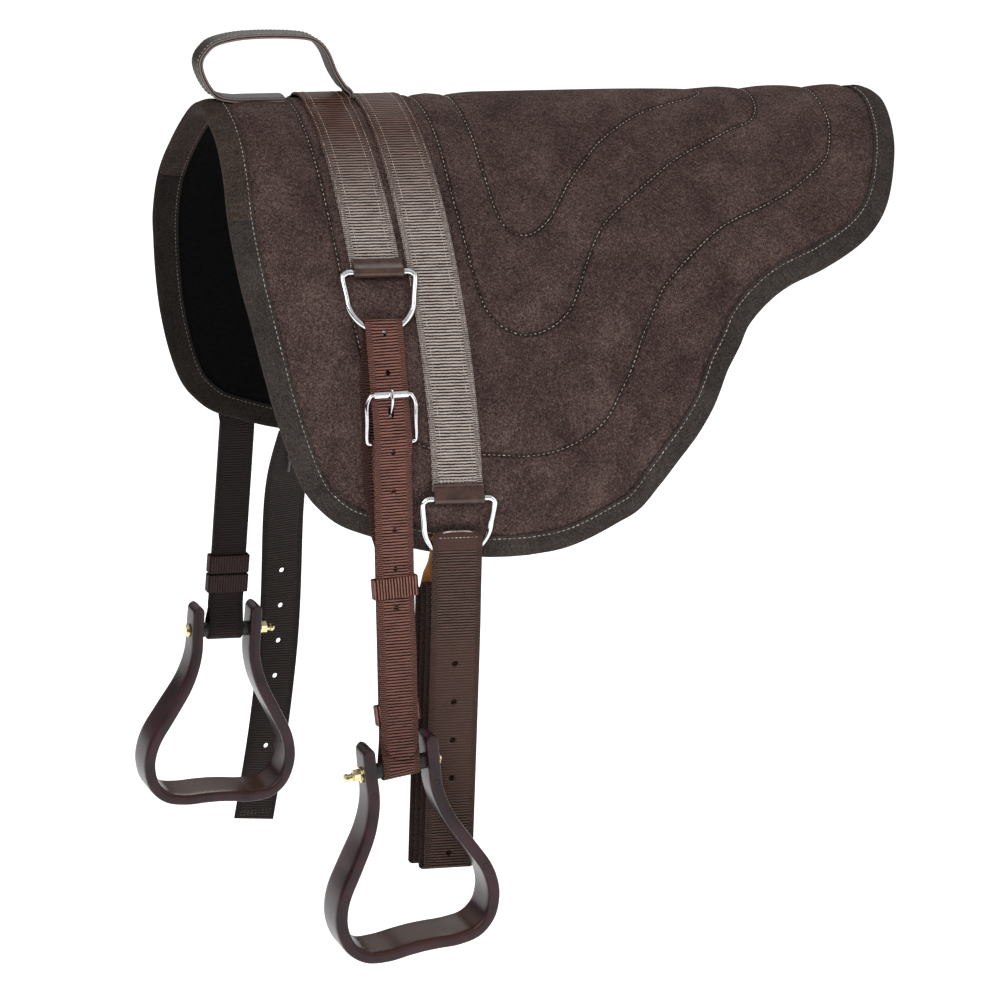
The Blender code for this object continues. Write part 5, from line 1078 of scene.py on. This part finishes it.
def strapLevels(total, tailOutside):
    # How far out each layer lies, as (down, out) knots, and the places that the layers turn at
    s = strapShape
    pitch = s["thick"] + s["gap"]
    atRing = ringShape["wire"] / 2 + s["gap"] + s["thick"] / 2
    atSleeve = s["sleeveRadius"] + s["gap"] + s["thick"] / 2
    atHeel = s["wire"] / 2 + s["touch"] + s["thick"] / 2
    pastEye = s["wire"] / 2 + s["touch"] + s["tongueWire"] + s["gap"] + s["thick"] / 2
    heel = s["buckleDrop"] + s["buckleHeight"]
    foldEnd = heel + s["fold"]
    spread = total - s["spread"]
    inner = [
        (0, -atRing), (s["buckleDrop"], s["heelOut"] - pastEye), (foldEnd + s["thick"], s["heelOut"] - pastEye),
        (foldEnd + s["ease"], -pitch), (spread, -pitch), (total, -atSleeve),
    ]
    folded = [(heel, s["heelOut"] - atHeel), (heel + s["ease"], -pitch)]
    second = [(heel, s["heelOut"] + atHeel), (heel + s["ease"], 0), (spread, 0), (total, atSleeve)]
    outer = [
        (0, atRing), (s["buckleDrop"] - s["ease"], pitch), (s["buckleDrop"] + s["rollerRadius"], pitch),
        (heel, s["heelOut"] + pastEye), (heel + s["ease"], pitch),
    ]
    if tailOutside:
        tailOut = s["thick"] + s["keeperPlay"] + s["keeperWall"] + s["gap"]
        passed = total - s["lowerRise"] - s["keeperSlide"] - s["keeperLength"] / 2 - s["keeperPlay"]
        outer += [(passed - s["spread"], pitch), (passed, tailOut)]
        outer += [(spread, tailOut), (total, atSleeve + tailOut)]
    else:
        outer += [(spread, pitch), (total, atSleeve + pitch)]
    return dict(
        inner=inner, folded=folded, second=second, outer=outer, pitch=pitch, atRing=atRing,
        atSleeve=atSleeve, atHeel=atHeel, heel=heel, foldEnd=foldEnd,
    )


def strapRoute(total, levels):
    # The whole strap from its folded end, round heel, bolt and ring, to its pointed tip
    s = strapShape
    heel, atHeel, atSleeve, atRing = (levels[key] for key in ("heel", "atHeel", "atSleeve", "atRing"))
    turnedAt, tip = heel + atHeel, total - s["tipBack"]
    a = np.linspace(0, math.pi, 17)
    sleeve = np.linspace(0, math.pi, 25)
    inside = ringShape["arc"] - ringShape["wire"] / 2
    ringTop = math.sqrt(inside**2 - (s["width"] / 2) ** 2) - inside
    q = np.linspace(0, 1, 16)[1:]
    point = tip - s["tip"] * (1 - q)
    stretches = (stretchOf(*ends) for ends in (
        (levels["foldEnd"], turnedAt), (turnedAt, total - s["thick"]), (total - s["thick"], 0),
        (0, tip - s["tip"]),
    ))
    folded, second, inner, outer = stretches
    bow = [(total * share, -s["bow"] * size) for share, size in s["bowShares"]]
    return np.vstack([
        layRows(folded, eased(folded, levels["folded"])),
        layRows(heel - atHeel * np.sin(a), s["heelOut"] - atHeel * np.cos(a), layer=1),
        layRows(second, eased(second, levels["second"]), layer=2),
        layRows(total + atSleeve * np.sin(sleeve), atSleeve * np.cos(sleeve), layer=3),
        layRows(inner, eased(inner, levels["inner"]), eased(inner, bow), layer=4),
        layRows(ringTop - atRing * np.sin(a), -atRing * np.cos(a), layer=5),
        layRows(outer, eased(outer, levels["outer"]), layer=6),
        layRows(
            point, eased(point, levels["outer"]), width=np.sqrt(np.clip(1 - q**2.6, 0.004, 1)), layer=7,
        ),
    ])


def buildStrap(hand, seat):
    s = strapShape
    side = seat["side"]
    lastAcross = (math.cos(lean), 0, -side * math.sin(lean))
    fall = smoothCurve(np.array(strapFalls[hand]) * mm, 60)
    hang = makeHang(fall, seat, lastAcross, ringShape["arc"], 0)
    levels = strapLevels(hang["length"], hand == "left")
    centre, across, facts = layStrap(hang, strapRoute(hang["length"], levels), s["step"])
    run = runLength(centre)
    below, layer = facts[:, 0], facts[:, 4]
    outerPart = layer > 5.5
    holes = []
    for k in range(-2, 6):
        t = s["buckleDrop"] + s["tongueHole"] + s["holePitch"] * k
        at = np.interp(t, below[outerPart], run[outerPart])
        holes.append((at, 0, s["holeRadius"] if k else s["heelHole"], 0 if k else s["tongueSlot"]))
    holes.append((run[abs(layer - 1) < 0.3].mean(), 0, s["heelHole"], s["heelSlot"]))
    # The inner layer is painted in shade, and the strap is darker towards the stirrup
    shade = 0.62 * ramped(layer, 3.4, 3.8) * ramped(-layer, -4.9, -4.5)
    shade = np.maximum(shade, 0.34 * ramped(below, 200 * mm, 470 * mm))
    strapPiece(
        f"stirrup_leather_{hand}", centre, across, strapLooks[hand], f"strap_{hand}", s["width"],
        s["thick"], 20, facts[:, 3], holes, [f"stirrup_strap_{hand}"], {"shade": shade},
    )
    # Buckle frame: a bent wire, narrower at its roller
    rollerOut = levels["pitch"] + s["thick"] / 2 + s["gap"] + s["rollerRadius"]
    half = [(0.4, 1), (0.87, 1), (1, 0.92), (1, 0.55), (1, 0.2), (0.86, 0.03), (0.75, 0)]
    shares = np.array([(-u, v) for u, v in half[::-1]] + half + [(0.3, 0), (-0.3, 0)])
    t = s["buckleDrop"] + s["buckleHeight"] * shares[:, 1]
    n = rollerOut + (s["heelOut"] - rollerOut) * shares[:, 1]
    frameLine = smoothCurve(spot(hang, t, n, s["buckleHalf"] * shares[:, 0]), 160, closed=True)
    _, _, _, out = hangAt(hang, s["buckleDrop"] + s["buckleHeight"] / 2)
    tubePiece(
        f"roller_buckle_{hand}", frameLine, s["wire"] / 2, "nickel", f"strap_{hand}", 16, True,
        out[0], [f"buckle_frame_{hand}"],
    )
    # Tongue: an eye round the heel, a shank under the strap's tail and a tip on the roller
    eye = s["wire"] / 2 + s["touch"] + s["tongueWire"] / 2
    a = np.radians(np.linspace(325, 100, 14))
    t = levels["heel"] - eye * np.sin(a)
    n = s["heelOut"] + eye * np.cos(a)
    holeAt = s["buckleDrop"] + s["tongueHole"]
    rest = rollerOut + s["rollerRadius"] + 0.5 * mm + s["tongueWire"] / 2
    under = eased(holeAt, levels["outer"]) - s["thick"] / 2 - 1 * mm - s["tongueWire"] / 2
    shank = np.array([(2.05, 0.06), (1.35, 0.02), (1.08, 0.2), (0.58, 0.8), (0.2, 1), (-0.3, 1.02)])
    t = np.concatenate([t, s["buckleDrop"] + s["tongueHole"] * shank[:, 0]])
    n = np.concatenate([n, under + (rest - under) * shank[:, 1]])
    tubePiece(
        f"prong_{hand}", smoothCurve(spot(hang, t, n), 90), s["tongueWire"] / 2, "nickel",
        f"tongue_{hand}", replaces=[f"buckle_tongue_{hand}"], roundEnds=True,
    )
    return hang, levels


def keeperPiece(hand, name, hang, levels, rise, holdsTail):
    # A loop of webbing round the layers: a rounded box carried along its own outline
    s = strapShape
    t = hang["length"] - rise
    held = levels["outer"] if holdsTail else levels["second"]
    around = s["thick"] / 2 + s["keeperPlay"] + s["keeperWall"] / 2
    top, bottom = eased(t, held) + around, eased(t, levels["inner"]) - around
    half = s["width"] / 2 + s["keeperSidePlay"] + s["keeperWall"] / 2
    corner = s["keeperCorner"]
    turn = np.radians(np.linspace(0, 90, 6))
    flat = []
    for cu, cn, start in ((half, top, 0), (-half, top, 90), (-half, bottom, 180), (half, bottom, 270)):
        signU, signN = (1 if cu > 0 else -1), (1 if cn == top else -1)
        a = turn + math.radians(start)
        flat += list(zip(cu - signU * corner + corner * np.cos(a), cn - signN * corner + corner * np.sin(a)))
    flat = np.array(flat)
    flat = evenly(np.vstack([flat, flat[:1]]), 111, 2)[:-1]
    centre, down, across, out = (value[0] for value in hangAt(hang, t))
    loop = centre + across * flat[:, :1] + out * flat[:, 1:]
    tangent = unit(np.roll(loop, -1, 0) - np.roll(loop, 1, 0))
    face = np.cross(tangent, down)
    section = strapSection(s["keeperLength"], s["keeperWall"] - 0.2 * mm, 12)
    points, uv = carry(loop, np.broadcast_to(down, loop.shape), face, section)
    return skinPiece(
        f"keeper_loop_{name}_{hand}", points, strapLooks[hand], f"keeper_{name}_{hand}", uv,
        [f"keeper_{name}_{hand}"], closed=True,
    )


for hand in ("left", "right"):
    hang, levels = buildStrap(hand, seats["front", hand])
    near, lower = hand == "left", strapShape["lowerRise"]
    upper = strapShape["upperRise"] if near else lower + strapShape["keeperLength"] + strapShape["keeperGap"]
    keeperPiece(hand, "upper", hang, levels, upper, True)
    keeperPiece(hand, "lower", hang, levels, lower, not near)
print("stirrup straps: webbing, buckles, prongs and keepers")


# The stirrups: a moulded hoop with rounded horns above the bolt

stirrupShape = dict(
    half=79.5 * mm, height=187 * mm, arm=13 * mm, depth=50 * mm, stations=120, sides=32, square=0.28,
    markRadius=3.2 * mm, markWire=0.55 * mm, marks=((-0.41, 0.1), (0.41, 0.1), (0.93, 0.62), (-0.93, 0.62)),
)
hoopShares = [
    (0.41, -0.155, 0.52), (0.41, 0.0, 0.56), (0.41, 0.12, 0.60), (0.455, 0.225, 0.66),
    (0.555, 0.34, 0.74), (0.75, 0.49, 0.82), (0.93, 0.63, 0.84), (1.0, 0.745, 0.84),
    (0.985, 0.84, 0.85), (0.90, 0.925, 0.88), (0.72, 0.985, 0.94), (0.46, 1.0, 1.0),
    (0.2, 0.993, 1.0), (0.0, 0.99, 1.0),
]


def stirrupPiece(hand):
    # A rounded bar carried round the hoop: wide at the tread, half round at the tops of the arms
    shape, side = stirrupShape, seats["front", hand]["side"]
    bolt = np.array(joints[f"stirrup_{hand}_swing"]["pos_m"])
    across = np.array([math.cos(lean), 0, -side * math.sin(lean)])
    down = np.array([-side * math.sin(lean), 0, -math.cos(lean)])
    out = np.array([0, side, 0])
    sized = np.array(hoopShares) * [shape["half"], shape["height"], shape["depth"]]
    half = smoothCurve(sized, shape["stations"])
    # Finer stations at the arm's top, so that it ends half round: run = arm (1 - cos a)
    arm = shape["arm"] / 2
    halfRun = runLength(half[:, :2])
    wanted = np.concatenate([arm * (1 - np.cos(np.linspace(0, math.pi / 2, 12)))[1:-1], halfRun[halfRun > arm]])
    half = np.stack([np.interp(np.insert(wanted, 0, 0), halfRun, half[:, k]) for k in range(3)], 1)
    path = np.vstack([half * [-1, 1, 1], (half[::-1])[1:]])
    tangent = unit(np.gradient(path[:, :2], axis=0))
    sideWay = across * -tangent[:, 1:2] + down * tangent[:, :1]
    run = runLength(path[:, :2])
    near = np.minimum(run, run[-1] - run)
    taper = np.sqrt(np.clip(1 - (1 - np.clip(near / arm, 0.01, 1)) ** 2, 0, 1))
    angle = np.linspace(0, 2 * math.pi, shape["sides"], endpoint=False)
    # A squared circle: sign(cos) |cos|^square
    thick, deep = (np.sign(wave) * abs(wave) ** shape["square"] for wave in (np.cos(angle), np.sin(angle)))
    centre = bolt + across * path[:, :1] + down * path[:, 1:2]
    points = (
        centre[:, None] + sideWay[:, None] * (arm * taper[:, None] * thick[None, :])[..., None]
        + out * (path[:, 2:3] / 2 * deep[None, :])[..., None]
    )
    inward = -np.sum(sideWay * down, -1)[:, None]
    # The tread's upper face is marked for the material's painted light
    treadGlow = ramped(path[:, 1:2] / shape["height"], 0.9, 0.97) * ramped(inward * thick[None, :], 0.4, 0.9)
    skinPiece(
        f"moulded_stirrup_{hand}", points, "plastic", f"stirrup_{hand}", None,
        [f"stirrup_{hand}"], {"tread": treadGlow},
    )
    # Small moulded rings on the near face of each arm and low on the sides
    places = []
    for u, v in shape["marks"]:
        k = np.argmin(np.hypot(path[:, 0] - u * shape["half"], path[:, 1] - v * shape["height"]))
        places.append(centre[k] + out * path[k, 2] / 2)
    a, b = (np.linspace(0, 2 * math.pi, count, endpoint=False) for count in (24, 8))
    reach = shape["markRadius"] + shape["markWire"] * np.cos(b)
    flat = across * np.cos(a)[:, None] + down * np.sin(a)[:, None]
    ring = flat[:, None] * reach[None, :, None] + out * (shape["markWire"] * np.sin(b))[None, :, None]
    points = np.array(places)[:, None, None] + ring
    many = (np.arange(len(places)) * len(a) * len(b))[:, None, None]
    makePiece(
        f"mould_marks_{hand}", points, (gridFaces(len(a), len(b), True, True) + many).reshape(-1, 4),
        "plastic", f"stirrup_{hand}",
    )


for hand in ("left", "right"):
    stirrupPiece(hand)
print("stirrups: two moulded hoops")


# The handle: two layers of leather strap, stitched along both edges

handleShape = dict(
    width=25 * mm, layer=2.2 * mm, height=65 * mm, reach=155.5 * mm, frontSewn=46 * mm, frontSetback=40 * mm,
    hug=8 * mm, turn=1.7 * mm, foot=28 * mm, seat=0.5 * mm, touch=0.3 * mm, step=2 * mm,
    stitchIn=9.5 * mm,
)
handleRise = [
    (0.11, 0.135), (0.034, 0.36), (0, 0.62), (0.039, 0.827), (0.129, 0.947), (0.386, 1.0),
    (0.65, 0.985), (0.765, 0.92), (0.84, 0.735), (0.893, 0.43), (0.95, 0.215), (0.992, 0.15),
]


def crestHeight(x, v=0.0):
    x, v = np.broadcast_arrays(np.asarray(x, float), np.asarray(v, float))
    return outerFace(x, v)[..., 2]


def handleLayer(name, line, node):
    # A strap along (x, z) whose edges drop with the pad where it lies close to it
    h = handleShape
    line = evenly(line, int(runLength(line)[-1] / h["step"]), 2)
    calm(line, 2)
    tangent = unit(np.gradient(line, axis=0))
    normal = np.stack([-tangent[:, 1], tangent[:, 0]], 1)
    v, n = strapSection(h["width"], h["layer"], 14).T
    x = line[:, :1] + normal[:, :1] * n
    z = line[:, 1:] + normal[:, 1:] * n
    hug = np.clip(1 - (line[:, 1] - crestHeight(line[:, 0]) - h["hug"]) / h["hug"], 0, 1)[:, None]
    fall = crestHeight(line[:, 0])[:, None] - crestHeight(line[:, :1], v[None, :])
    points = np.stack([x, np.broadcast_to(v, x.shape), z - fall * hug], -1)
    skinPiece(name, points, "handle", "pad", crossedUv(runLength(line), v), [node])
    return line, normal, hug[:, 0]


def handlePieces():
    h = handleShape
    pair = h["layer"] + h["touch"] / 2
    rearX = (bands["front"]["x"] + bands["rear"]["x"]) / 2
    frontX = rearX - h["reach"]
    startX = frontX + h["frontSetback"]
    low = h["seat"] + pair
    route = [(startX + h["frontSewn"], low), (startX + h["frontSewn"] / 2, low), (startX, low)]
    route += [(frontX + h["reach"] * along, h["height"] * up) for along, up in handleRise]
    route += [(rearX, low + h["layer"] * 2 + h["touch"]), (rearX, h["seat"] + h["layer"] + h["touch"])]
    middle = smoothCurve(route, 260)
    middle[:, 1] = np.where(middle[:, 0] < bands["front"]["x"], np.maximum(middle[:, 1], low), middle[:, 1])
    middle[:, 1] += crestHeight(middle[:, 0])
    tangent = np.gradient(middle, axis=0)
    across = unit(np.stack([-tangent[:, 1], tangent[:, 0]], 1))
    across = across if across[130, 1] > 0 else -across
    shift = (h["layer"] + h["touch"]) / 2
    outer, outerNormal, hug = handleLayer("handle_strap_outer", middle + across * shift, "handle_outer")
    inner = middle - across * shift
    cornerX = bands["front"]["x"] + bands["width"] / 2
    footUp = h["seat"] + h["layer"] / 2
    cornerUp = footUp + h["turn"]
    last = len(inner)
    while inner[last - 1, 1] < crestHeight(cornerX) + cornerUp + h["turn"]:
        last -= 1
    downX = rearX - shift
    a = np.radians(np.linspace(0, 90, 7))
    bendX = downX - h["turn"] + h["turn"] * np.cos(a)
    bend = np.stack([bendX, crestHeight(bendX) + cornerUp - h["turn"] * np.sin(a)], 1)
    endX = downX - h["turn"] - h["foot"]
    inner = np.vstack([inner[:last], bend, [[endX, float(crestHeight(endX)) + footUp]]])
    handleLayer("handle_strap_inner", inner, "handle_inner")
    # Two rows of stitches through both layers, seen on the outer one
    up = outerNormal if outerNormal[len(outer) // 2, 1] > 0 else -outerNormal
    face = outer + up * (h["layer"] / 2)
    normals = np.stack([up[:, 0], np.zeros(len(up)), up[:, 1]], 1)
    rows = []
    for v in (-h["stitchIn"], h["stitchIn"]):
        fall = (crestHeight(outer[:, 0]) - crestHeight(outer[:, 0], v)) * hug
        line = np.stack([face[:, 0], np.full(len(face), v), face[:, 1] - fall], 1)
        rows.append((line[4:-8], normals[4:-8]))
    stitchPiece("handle_stitching", rows, "pad", "handle")


handlePieces()
print("handle: two layers and their stitches")


# The latigo: folded webbing with a leather back, hung from the near rear ring

latigoShape = dict(
    length=325 * mm, lean=10 * mm, sideStep=4.5 * mm, pitch=3.4 * mm, foldTop=30 * mm, stagger=4 * mm,
    sewn=25 * mm, inset=2 * mm, turn=50 * mm, holePitch=40 * mm, holes=6, endMargin=14 * mm, step=1.0 * mm,
    web=2.5 * mm, width=50.8 * mm, leather=2.4 * mm, leatherDrop=62 * mm, leatherLean=14 * mm,
    holeRadius=3 * mm, leatherShort=4 * mm, rubbed=(70 * mm, 100 * mm, 235 * mm, 275 * mm),
)


def latigoPieces():
    s, seat, wire = latigoShape, seats["rear", "left"], ringShape["wire"]
    foot = seat["foot"]
    turn = foot + seat["down"] * wire
    points = [foot, turn, turn - [0, 0, s["turn"]], foot + [-s["lean"], 0, -s["length"]]]
    hang = makeHang(points, seat, seat["along"], ringShape["arc"], 30)
    webOut = wire / 2 + 0.5 * mm + s["web"] / 2
    leatherOut = wire / 2 + 0.5 * mm + s["leather"] / 2
    sewnHalf = (s["web"] + 0.3 * mm) / 2
    inside = ringShape["arc"] - wire / 2
    wireTop = -(inside - math.sqrt(inside**2 - (s["width"] / 2) ** 2)) - wire
    front = [(-s["sewn"], sewnHalf), (wireTop, webOut), (0, webOut), (s["turn"], webOut - s["inset"])]
    stack = webOut - s["inset"]
    q = np.linspace(0, 1, 9)
    cutEnd, leg = -s["sewn"] * (1 - 0.25 * q), stretchOf(-s["sewn"] * 0.7, s["length"])
    route = [
        layRows(cutEnd, eased(cutEnd, front), width=0.7 + 0.3 * np.sqrt(np.clip(1 - (1 - q) ** 2, 0, 1))),
        layRows(leg, eased(leg, front)),
    ]
    n, aside = stack, 0.0
    foldEnd = s["length"] - s["stagger"]
    turns = (
        (s["length"], 1, s["foldTop"]), (s["foldTop"], -1, foldEnd), (foldEnd, 1, s["foldTop"] + s["stagger"]),
    )
    for turnAt, way, stop in turns:
        # Each fold is a half turn, with a step aside
        a = np.linspace(0, math.pi, 11)[1:-1]
        share = (1 - np.cos(a)) / 2
        bend = turnAt + way * s["pitch"] / 2 * np.sin(a)
        route.append(layRows(bend, n - s["pitch"] * share, aside - s["sideStep"] * share))
        n, aside = n - s["pitch"], aside - s["sideStep"]
        route.append(layRows(stretchOf(turnAt, stop), n, aside))
    centre, across, facts = layStrap(hang, np.vstack(route), s["step"], 1)
    run = runLength(centre)
    below, stepped = facts[:, 0], -facts[:, 2]
    firstLeg = slice(0, int(np.nonzero(np.diff(below) < -0.2 * mm)[0][0]))
    holes = []
    for k in range(s["holes"]):
        t = s["length"] - s["endMargin"] - s["holePitch"] * k
        holes.append((np.interp(t, below[firstLeg], run[firstLeg]), 0, s["holeRadius"], 0))
    # The ribs are rubbed smooth over the ring and half way down
    rubbed = s["rubbed"]
    bare = 1 - ramped(below, -9 * mm, -6 * mm)
    bare = bare + 0.6 * ramped(below, *rubbed[:2]) * (1 - ramped(below, *rubbed[2:]))
    # The layers folded back behind the first are darkened with painted shade
    strapPiece(
        "latigo_strap", centre, across, "latigo", "latigo", s["width"], s["web"], 24,
        facts[:, 3], holes, ["latigo_webbing"],
        {"bare": bare, "shade": 0.5 * ramped(stepped, 0.5 * mm, 2 * mm)}, True,
    )
    # The tan leather back runs behind the wire and behind the folds
    behind = stack - 3 * s["pitch"] - (s["web"] + s["leather"]) / 2 - 0.5 * mm
    backHalf = (s["leather"] + 0.3 * mm) / 2
    back = [
        (-s["sewn"], -backHalf), (wireTop, -leatherOut), (wire, -leatherOut),
        (s["foldTop"] - 2 * s["pitch"], behind), (s["leatherDrop"], behind),
    ]
    # It stops below the webbing's cut edge, so that it doesn't show over it
    backTop = -s["sewn"] + s["leatherShort"]
    t = stretchOf(backTop, s["leatherDrop"], 1.5 * mm)
    topEnd = np.clip((t - backTop) / (0.25 * s["sewn"]), 0, 1)
    lowEnd = np.clip((s["leatherDrop"] - t) / (0.12 * s["leatherDrop"]), 0, 1)
    width = (0.7 + 0.3 * np.sqrt(1 - (1 - topEnd) ** 2)) * (0.88 + 0.12 * np.sqrt(1 - (1 - lowEnd) ** 2))
    sideways = -s["leatherLean"] * np.maximum(t, 0) / s["leatherDrop"]
    centre, across, facts = layStrap(hang, layRows(t, eased(t, back), sideways, width), 1.5 * mm)
    strapPiece(
        "latigo_leather_back", centre, across, "tan", "latigo", s["width"], s["leather"], 22,
        facts[:, 3], replaces=["latigo_leather"],
    )
    # A row of stitches across, under the cut edge
    t = np.full(40, -0.8 * s["sewn"])
    line = spot(hang, t, eased(t, front) + s["web"] / 2 - 0.1 * mm, np.linspace(-20 * mm, 20 * mm, 40))
    stitchPiece("latigo_stitching", [(line, hangAt(hang, t)[3])], "latigo", "latigo")
    # The cut edge was sealed with heat: a pale ridge along the webbing's end
    u = np.linspace(-0.36, 0.36, 40) * s["width"]
    n = eased(-s["sewn"], front) + s["web"] * 0.4
    arc = spot(hang, -s["sewn"] - 0.3 * mm + 3 * mm * (u / u.max()) ** 4, n, u)
    tubePiece("latigo_cut_edge", arc, 0.8 * mm, "thread", "latigo", 8, roundEnds=True)


latigoPieces()
print("latigo: folded webbing, leather back and stitches")


# The off billet: punched webbing tied to the far rear ring with a lace

billetShape = dict(
    width=48 * mm, length=472 * mm, stand=58 * mm, lean=44 * mm, topGap=9 * mm, thick=2.5 * mm,
    holePitch=41 * mm, firstHole=195 * mm, holes=6, holeRadius=3 * mm, lace=1.9 * mm, laceDrop=14 * mm,
    laceSpread=9 * mm, touch=0.3 * mm, knotGrow=2.7 * mm, knotDepth=2.6 * mm, knotWire=1.6 * mm,
    knotDrop=17 * mm, knotTail=20 * mm,
)
billetFall = [
    (0, 0, 0), (0.03, 0.09, 0.03), (0.065, 0.3, 0.08), (0.115, 0.55, 0.12), (0.18, 0.77, 0.13),
    (0.27, 0.93, 0.12), (0.38, 1, 0.12), (0.55, 1, 0.22), (0.78, 1, 0.54), (1, 0.97, 1),
]
laceShares = [
    (1.16, 0, -1.3, 0.75), (1.02, 0, -0.55, 0.98), (1, 0, 0.4, 1), (0.86, 0, 1, 1),
    (-0.7, 1.12, 0, 0.95), (0.6, 1.05, 0, 0.85), (1.35, 0.02, 0, 0.65), (0.6, -1.02, 0, 0.5),
    (-0.8, -1.12, 0, 0.42), (-1.9, -1.0, 0, 0),
]


def billetPieces():
    s, seat = billetShape, seats["rear", "right"]
    fall = np.array(billetFall)
    away = fall[:, [2, 1, 0]] * [-s["lean"], seat["side"] * s["stand"], -s["length"]]
    hang = makeHang(seat["foot"] + away, seat, seat["along"], ringShape["arc"], 30)
    rows = layRows(stretchOf(s["topGap"], hang["length"]), 0.0)
    centre, across, facts = layStrap(hang, rows, 1.1 * mm)
    laceAt = s["topGap"] + s["laceDrop"]
    places = np.append(s["firstHole"] + s["holePitch"] * np.arange(s["holes"]), laceAt)
    *punched, laceRun = np.interp(places, facts[:, 0], runLength(centre))
    holes = [(at, 0, s["holeRadius"], 0) for at in punched]
    holes += [(laceRun, way * s["laceSpread"], s["lace"] + 1.1 * mm, 0) for way in (-1, 1)]
    strapPiece(
        "billet_strap", centre, across, "billet", "billet", s["width"], s["thick"], 25, facts[:, 3],
        holes, ["billet_webbing"],
    )
    roundWire = ringShape["wire"] / 2 + s["lace"]
    onWeb = s["thick"] / 2 + 2 * s["touch"] + s["lace"]
    table = np.array(laceShares)
    byWire = abs(table[:, 1]) > 0
    t = np.where(byWire, -roundWire * table[:, 0], laceAt * table[:, 0])
    n = roundWire * table[:, 1] + onWeb * table[:, 2]
    half = spot(hang, t, n, s["laceSpread"] * table[:, 3])
    other = spot(hang, t, n, -s["laceSpread"] * table[:, 3])[-2::-1]
    tubePiece(
        "tie_lace", smoothCurve(np.vstack([half, other]), 200), s["lace"], "lace", "billet", 12,
        replaces=["billet_lace"], roundEnds=True,
    )
    knotT, knotN = laceAt + s["knotDrop"], -onWeb - s["knotDepth"] + 2 * s["touch"]
    opening = 2 * math.pi / 3
    a = np.linspace(opening + 0.25, opening + 2 * math.pi - 0.25, 60)
    u = (np.cos(a) + 2 * np.cos(2 * a)) * s["knotGrow"]
    v = (np.sin(a) - 2 * np.sin(2 * a)) * s["knotGrow"]
    # The lace's ends come out where the knot opens
    endU = (math.cos(opening) + 2 * math.cos(2 * opening)) * s["knotGrow"]
    endV = (math.sin(opening) - 2 * math.sin(2 * opening)) * s["knotGrow"]
    share = np.array([0.1, 0.5, 1])
    t = np.concatenate([knotT + v, knotT + endV + s["knotTail"] * share])
    n = np.concatenate([knotN - np.sin(3 * a) * s["knotDepth"], np.full(3, knotN)])
    u = np.concatenate([u, endU * (1 - share / 3)])
    tubePiece(
        "tie_knot", smoothCurve(spot(hang, t, n, u), 200), s["knotWire"], "lace", "billet", 12,
        replaces=["billet_knot"], roundEnds=True,
    )
    # Two short rows of stitches across the billet's end
    u = np.linspace(-20 * mm, 20 * mm, 40)
    rows = []
    for back in (7 * mm, 10 * mm):
        for way in (-1, 1):
            t = np.full(40, hang["length"] - back)
            _, _, _, out = hangAt(hang, t)
            rows.append((spot(hang, t, way * (s["thick"] / 2 - 0.1 * mm), u), out * way))
    stitchPiece("billet_stitching", rows, "billet", "billet", "threadDark")


billetPieces()
print("billet: webbing, lace and knot")


# CAD nodes that stay get their finish here
for node, look in (
    ("buckle_roller", "nickel"), ("bolt", "zinc"), ("washer", "zinc"), ("nut", "zinc"), ("sleeve", "rubber"),
):
    for hand in ("left", "right"):
        mesh = frame["nodes"][f"{node}_{hand}"].data
        mesh.materials.clear()
        mesh.materials.append(looks[look])


# Studio: a flat pale floor and three soft lights
studio = dict(
    floor=-1250 * mm, size=14, world=0.6, glow=0.62, lights=dict(
        keyLight=((-2.2, -3.2, 2.6), (0, 0, -0.3), 2.2, 112),
        fillLight=((2.8, -2.6, 0.6), (0, 0, -0.3), 2.5, 28),
        rimLight=((1.0, 2.8, 2.4), (0, 0, -0.2), 2.0, 50),
    ),
)


def stageMaterial(glow):
    # Matt white paper sweep, faintly lit from behind
    material, add = startMaterial(
        "paper_sweep", Roughness=0.9, Specular_IOR_Level=0.1, Emission_Color=(1, 1, 1, 1),
        Emission_Strength=glow,
    )
    tooth = add("TexNoise", {"Vector": add("TexCoord", out="Object"), "Scale": 8, "Detail": 2})
    return finishMaterial(material, add("ValToRGB", [tooth], stops=[(0.2, "#f4f4f4"), (0.8, "#fafafa")]))


def makeStudio(sizes):
    bpy.context.scene.view_settings.view_transform = "Standard"
    size = sizes["size"]
    mesh = bpy.data.meshes.new("floor")
    corners = [(-size, -size), (size, -size), (size, size), (-size, size)]
    mesh.from_pydata([(x, y, sizes["floor"]) for x, y in corners], [], [(0, 1, 2, 3)])
    mesh.materials.append(stageMaterial(sizes["glow"]))
    floor = bpy.data.objects.new("floor", mesh)
    bpy.context.scene.collection.objects.link(floor)
    world = bpy.data.worlds.new("studio")
    bpy.context.scene.world = world
    world.use_nodes = True
    # Dark round the horizon and bright above, so that the plated wire has both to show
    tree = world.node_tree
    sky = addNode(tree, "SeparateXYZ", [addNode(tree, "TexCoord", out="Generated")], out="Z")
    dome = [(0.0, "#3a3a3c"), (0.12, "#3a3a3c"), (0.4, "#ffffff"), (1.0, "#ffffff")]
    background = tree.nodes["Background"].inputs
    tree.links.new(addNode(tree, "ValToRGB", [sky], stops=dome), background["Color"])
    background["Strength"].default_value = sizes["world"]
    for name, (place, aim, width, power) in sizes["lights"].items():
        data = bpy.data.lights.new(name, "AREA")
        data.energy, data.size = power, width
        light = bpy.data.objects.new(name, data)
        standAt(light, unit(np.subtract(place, aim)), np.array(place))


makeStudio(studio)
print("studio: floor and lights")
